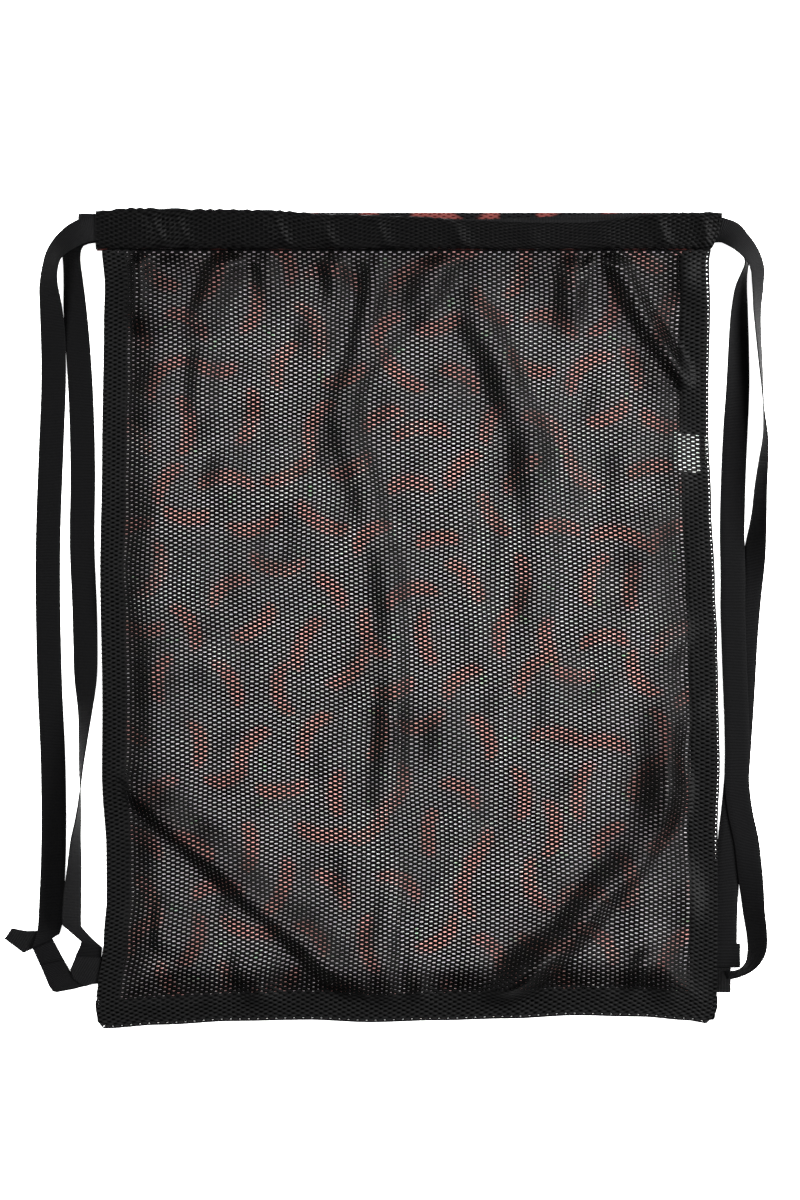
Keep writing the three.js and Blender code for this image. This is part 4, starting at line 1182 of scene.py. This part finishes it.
SECTION_ACROSS = [-1.0, -0.985, -0.94, -0.5, 0.0, 0.5, 0.94, 0.985, 1.0]
SECTION_THICK = [0.25, 0.72, 1.0, 1.0, 1.0, 1.0, 1.0, 0.72, 0.25]


def ribbon(name, left, right, face):
    """Webbing between two lines of edge points, with rounded edges and closed ends, mapped by its length."""
    share = np.array(SECTION_ACROSS)
    thick = np.array(SECTION_THICK) * STRAP_THICKNESS / 2
    middle = (left + right) / 2
    reach = (right - left) / 2
    level = middle[:, None] + share[:, None] * reach[:, None]
    raised = thick[:, None] * face[:, None]
    rings = np.concatenate([level + raised, (level - raised)[:, ::-1]], axis=1)
    count, size = rings.shape[:2]
    number = np.arange(count * size).reshape(count, size)
    following = np.roll(number, -1, axis=1)
    faces = faces_of(number[:-1], number[1:], following[1:], following[:-1])
    faces.append([int(point) for point in number[0]])
    faces.append([int(point) for point in number[-1][::-1]])
    mesh = bpy.data.meshes.new(name)
    mesh.from_pydata(rings.reshape(-1, 3), [], faces)
    mesh.shade_smooth()
    across = np.concatenate([share, share[::-1]]) * STRAP_WIDTH / 2
    flat_map(mesh, "ribbon", np.tile(across, count), np.repeat(run_lengths(middle), size))
    return add_object(name, mesh)


def strap_edges(stations):
    """The two edges of a strap along its run, with its face directions."""
    middle, across, face = stations
    return middle - across * STRAP_WIDTH / 2, middle + across * STRAP_WIDTH / 2, face


def lead_on(edges, strip):
    """Carries a strap on through pairs of edge points, by which it turns and folds at its corner."""
    left, right, face = edges
    start = np.concatenate([left[-1], right[-1]])
    knots = np.concatenate([start[None], np.concatenate([strip["left"], strip["right"]], axis=1)])
    chord = run_lengths(knots)
    along = np.arange(STRIP_STEP, chord[-1], STRIP_STEP)
    pairs = np.stack([np.interp(along, chord, column) for column in knots.T], axis=-1)
    left = np.concatenate([left, pairs[:, :3]])
    right = np.concatenate([right, pairs[:, 3:]])
    flat = np.cross(np.gradient((left + right) / 2, axis=0), left - right)
    flat /= np.linalg.norm(flat, axis=1)[:, None]
    turned = np.sign(flat[len(face) - 1] @ face[-1])
    return left, right, np.concatenate([face, turned * flat[len(face):]])


WEBBING_SHINE = 0.016
RIB_SCALE = 260
RIB_SWAY = 0.4
WEBBING_YARN_SCALE = 900
WEBBING_YARN_DETAIL = 3
WEBBING_YARN_SHARE = 0.5
WEBBING_RELIEF = 0.8
WEBBING_RELIEF_DEPTH = 0.0003
WEBBING_ROUGHNESS = (0.5, 0.75)


def webbing_finish(name, dark, light):
    """Woven webbing: fine ribs across its length, yarns in the ribs and a soft uneven shine."""
    material, tree, surface = new_finish(name)
    link = tree.links.new
    surface.inputs["Specular IOR Level"].default_value = WEBBING_SHINE
    flat = add_node(tree, "ShaderNodeUVMap", uv_map="ribbon").outputs[0]
    ribs = fine_ribs(tree, flat, RIB_SCALE, RIB_SWAY)
    yarns = fine_yarns(tree, flat, WEBBING_YARN_SCALE, WEBBING_YARN_DETAIL)
    height = add_node(tree, "ShaderNodeMath", {MULTIPLIER: WEBBING_YARN_SHARE}, operation="MULTIPLY_ADD")
    link(yarns, height.inputs[0])
    link(ribs, height.inputs[ADDEND])
    add_relief(tree, surface, height.outputs[0], WEBBING_RELIEF, WEBBING_RELIEF_DEPTH)
    link(mixed_colour(tree, ribs, dark, light), surface.inputs["Base Color"])
    uneven_roughness(tree, surface, yarns, *WEBBING_ROUGHNESS)
    return material


WEBBING_DARK = (0.0001, 0.0001, 0.00012)
WEBBING_LIGHT = (0.0008, 0.0008, 0.0009)
black_webbing = webbing_finish("black_webbing", WEBBING_DARK, WEBBING_LIGHT)
STRIP_STEP = 0.0012
KNOT_STRIP = {
    "left": [(-0.2809, -0.2549, 0.0024), (-0.2867, -0.2583, 0.0042), (-0.2863, -0.2591, 0.0022),
             (-0.2779, -0.2746, 0.0030), (-0.2775, -0.2754, 0.0018), (-0.2729, -0.2842, 0.0018),
             (-0.2712, -0.2866, 0.0018), (-0.2695, -0.2888, 0.0018), (-0.2655, -0.2935, 0.0018),
             (-0.2625, -0.2950, 0.0018)],
    "right": [(-0.2990, -0.2530, 0.0018), (-0.3030, -0.2660, 0.0032), (-0.3027, -0.2670, 0.0018),
              (-0.2972, -0.2790, 0.0026), (-0.2968, -0.2798, 0.0018), (-0.2896, -0.2968, 0.0018),
              (-0.2866, -0.3012, 0.0018), (-0.2834, -0.3019, 0.0018), (-0.2700, -0.2995, 0.0018),
              (-0.2610, -0.2972, 0.0018)],
}
LOOP_STRIP = {
    "left": [(-0.2780, -0.2468, 0.0120), (-0.2706, -0.2540, 0.0080), (-0.2634, -0.2609, 0.0045),
             (-0.2645, -0.2645, 0.0030), (-0.2683, -0.2727, 0.0018), (-0.2700, -0.2790, 0.0018)],
    "right": [(-0.2637, -0.2490, 0.0008), (-0.2600, -0.2533, 0.0010), (-0.2545, -0.2590, 0.0014),
              (-0.2467, -0.2660, 0.0018), (-0.2474, -0.2730, 0.0018), (-0.2485, -0.2790, 0.0018)],
}
left_front = lead_on(strap_edges(strap_run(LEFT_FRONT_RUN)), KNOT_STRIP)
left_back = lead_on(strap_edges(strap_run(LEFT_BACK_RUN)), LOOP_STRIP)
front_middle, front_across, front_face = strap_run(RIGHT_FRONT_RUN)
back_middle, back_across, back_face = strap_run(RIGHT_BACK_RUN)
turn_radius = (front_middle[0, 2] - back_middle[0, 2]) / 2
turn = np.radians(np.array(TURN_ANGLES))[:, None]
turn_face = np.concatenate([np.cos(turn), 0 * turn, np.sin(turn)], axis=1)
turn_middle = back_middle[0] + np.array([0, 0, turn_radius]) + turn_radius * turn_face
turn_across = np.repeat(front_across[:1], len(turn), axis=0)
right_strap_run = (np.concatenate([back_middle[::-1], turn_middle, front_middle]),
                   np.concatenate([back_across[::-1], turn_across, front_across]),
                   np.concatenate([-back_face[::-1], turn_face, front_face]))
strap_left_front = ribbon("strap_left_front_run", *left_front)
strap_left_back = ribbon("strap_left_back_run", *left_back)
strap_right = ribbon("strap_right_whole", *strap_edges(right_strap_run))
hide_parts("strap_left_front")
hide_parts("strap_left_back", "strap_left_twist")
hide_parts("strap_right_front", "strap_right_back")
for strap in (strap_left_front, strap_left_back, strap_right):
    strap.data.materials.append(black_webbing)
    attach(strap, "root")


# Tabs and strap ends: short folded lengths of the same webbing at the two lower corners.
# Each tab is folded double round the strap and sewn into the side seam.
# The left strap's cut end sticks out of its knot, and the right one's is turned back and sewn down.
LEFT_TAB = [(-0.2472, -0.2737), (-0.268, -0.273), (-0.2725, -0.2835), (-0.2705, -0.290), (-0.265, -0.2945),
            (-0.2608, -0.2973), (-0.2545, -0.2952), (-0.2502, -0.2948), (-0.2494, -0.2880)]
RIGHT_TAB = [(0.2433, -0.302), (0.259, -0.302), (0.259, -0.2822), (0.2433, -0.2822)]
RIGHT_TAB_UNDER = [(0.2433, -0.302), (0.259, -0.302), (0.259, -0.2812), (0.2433, -0.2812)]
TURNBACK = [(0.2465, -0.2820), (0.2665, -0.2820), (0.2665, -0.2625), (0.2465, -0.2625)]
TAIL = [(-0.3255, -0.2589), (-0.3195, -0.2503), (-0.3080, -0.2525), (-0.2975, -0.2525), (-0.2925, -0.2545),
        (-0.2925, -0.2610), (-0.3030, -0.2668), (-0.3057, -0.2683), (-0.3102, -0.2704)]
FLOOR_LAYER_Z = 0.0001
LEFT_TAB_TOP_Z = 0.0026
RIGHT_TAB_TOP_Z = 0.0013
TURNBACK_Z = 0.0013
PLATE_EDGE = 0.00035
PLATE_EDGE_STEPS = 2
PLATE_EDGE_ROUND = 0.5


def webbing_plate(name, layers, run_angle):
    """Flat webbing in layers, each an outline at its height, with rounded edges and ribs across its run."""
    sheets = bmesh.new()
    for outline, bottom in layers:
        corners = [sheets.verts.new((x, y, bottom)) for x, y in outline]
        floor_face = sheets.faces.new(corners)
        raised = bmesh.ops.extrude_face_region(sheets, geom=[floor_face])
        lifted = [item for item in raised["geom"] if isinstance(item, bmesh.types.BMVert)]
        bmesh.ops.translate(sheets, verts=lifted, vec=(0, 0, STRAP_THICKNESS))
    bmesh.ops.recalc_face_normals(sheets, faces=sheets.faces)
    level_edges = []
    for edge in sheets.edges:
        start, end = edge.verts
        if abs(start.co.z - end.co.z) < PLATE_EDGE:
            level_edges.append(edge)
    bmesh.ops.bevel(sheets, geom=level_edges, offset=PLATE_EDGE, segments=PLATE_EDGE_STEPS,
                    profile=PLATE_EDGE_ROUND, affect="EDGES")
    mesh = bpy.data.meshes.new(name)
    sheets.to_mesh(mesh)
    sheets.free()
    places = np.array([vertex.co for vertex in mesh.vertices])
    run = np.array([math.cos(run_angle), math.sin(run_angle)])
    flat_map(mesh, "ribbon", places[:, 0] * run[1] - places[:, 1] * run[0], places[:, :2] @ run)
    plate = add_object(name, mesh)
    plate.data.materials.append(black_webbing)
    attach(plate, "root")
    return plate


LEFT_TAB_RUN = math.radians(20)
RIGHT_TAB_RUN = 0.0
TAIL_RUN = math.radians(200)
TURNBACK_RUN = math.radians(90)
left_tab_layers = [(LEFT_TAB, FLOOR_LAYER_Z), (LEFT_TAB, LEFT_TAB_TOP_Z)]
right_tab_layers = [(RIGHT_TAB_UNDER, FLOOR_LAYER_Z), (RIGHT_TAB, RIGHT_TAB_TOP_Z)]
tab_left = webbing_plate("tab_left_webbing", left_tab_layers, LEFT_TAB_RUN)
tab_right = webbing_plate("tab_right_webbing", right_tab_layers, RIGHT_TAB_RUN)
tail = webbing_plate("strap_tail_left_webbing", [(TAIL, FLOOR_LAYER_Z)], TAIL_RUN)
turnback = webbing_plate("strap_turnback_right_webbing", [(TURNBACK, TURNBACK_Z)], TURNBACK_RUN)
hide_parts("tab_left")
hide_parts("tab_right")
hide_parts("strap_tail_left")
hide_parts("strap_turnback_right")


# Floor, light and camera: a seamless white table under soft light, with the main lamp to the right.
# The camera looks straight down from high above, as the photograph does.
FLOOR_SIZE = 4.0
FLOOR_WHITE = (0.56, 0.56, 0.56)
FLOOR_PALE = (0.60, 0.60, 0.60)
FLOOR_GLOW = 0.90
FLOOR_ROUGHNESS = 0.8
MOTTLE_SCALE = 3
LIGHT_WHITE = (1, 1, 1, 1)
CAMERA_PLACE = (-0.0072, 0.0137, 3.0)
CAMERA_LENS = 111.8
WORLD_LIGHT = 0.70
LAMPS = {
    "key": {"place": (1.6, 0.3, 1.1), "width": 2.2, "height": 0.9, "power": 580},
    "fill": {"place": (-1.5, 0.4, 1.3), "width": 1.2, "height": 1.2, "power": 190},
}

floor_mesh = bpy.data.meshes.new("floor")
half = FLOOR_SIZE / 2
floor_corners = [(-half, -half, 0), (half, -half, 0), (half, half, 0), (-half, half, 0)]
floor_mesh.from_pydata(floor_corners, [], [(0, 1, 2, 3)])
floor = add_object("floor", floor_mesh)
table_white, table_nodes, table_surface = new_finish("table_white")
table_surface.inputs["Roughness"].default_value = FLOOR_ROUGHNESS
table_surface.inputs["Emission Color"].default_value = LIGHT_WHITE
table_surface.inputs["Emission Strength"].default_value = FLOOR_GLOW
mottle = add_node(table_nodes, "ShaderNodeTexNoise", {"Scale": MOTTLE_SCALE})
paint = mixed_colour(table_nodes, mottle.outputs["Fac"], FLOOR_WHITE, FLOOR_PALE)
table_nodes.links.new(paint, table_surface.inputs["Base Color"])
floor.data.materials.append(table_white)

for lamp_name, lamp in LAMPS.items():
    light = bpy.data.lights.new(lamp_name, "AREA")
    light.shape = "RECTANGLE"
    light.size = lamp["width"]
    light.size_y = lamp["height"]
    light.energy = lamp["power"]
    holder = bpy.data.objects.new(lamp_name, light)
    holder.location = lamp["place"]
    holder.rotation_euler = (-Vector(lamp["place"])).to_track_quat("-Z", "Y").to_euler()
    bpy.context.scene.collection.objects.link(holder)

world = bpy.data.worlds.new("white_room")
world.use_nodes = True
sky = world.node_tree.nodes["Background"]
sky.inputs["Color"].default_value = LIGHT_WHITE
sky.inputs["Strength"].default_value = WORLD_LIGHT
bpy.context.scene.world = world
bpy.context.scene.view_settings.view_transform = "Standard"

camera_data = bpy.data.cameras.new("camera")
camera_data.lens = CAMERA_LENS
camera = bpy.data.objects.new("camera", camera_data)
camera.location = CAMERA_PLACE
bpy.context.scene.collection.objects.link(camera)
bpy.context.scene.camera = camera
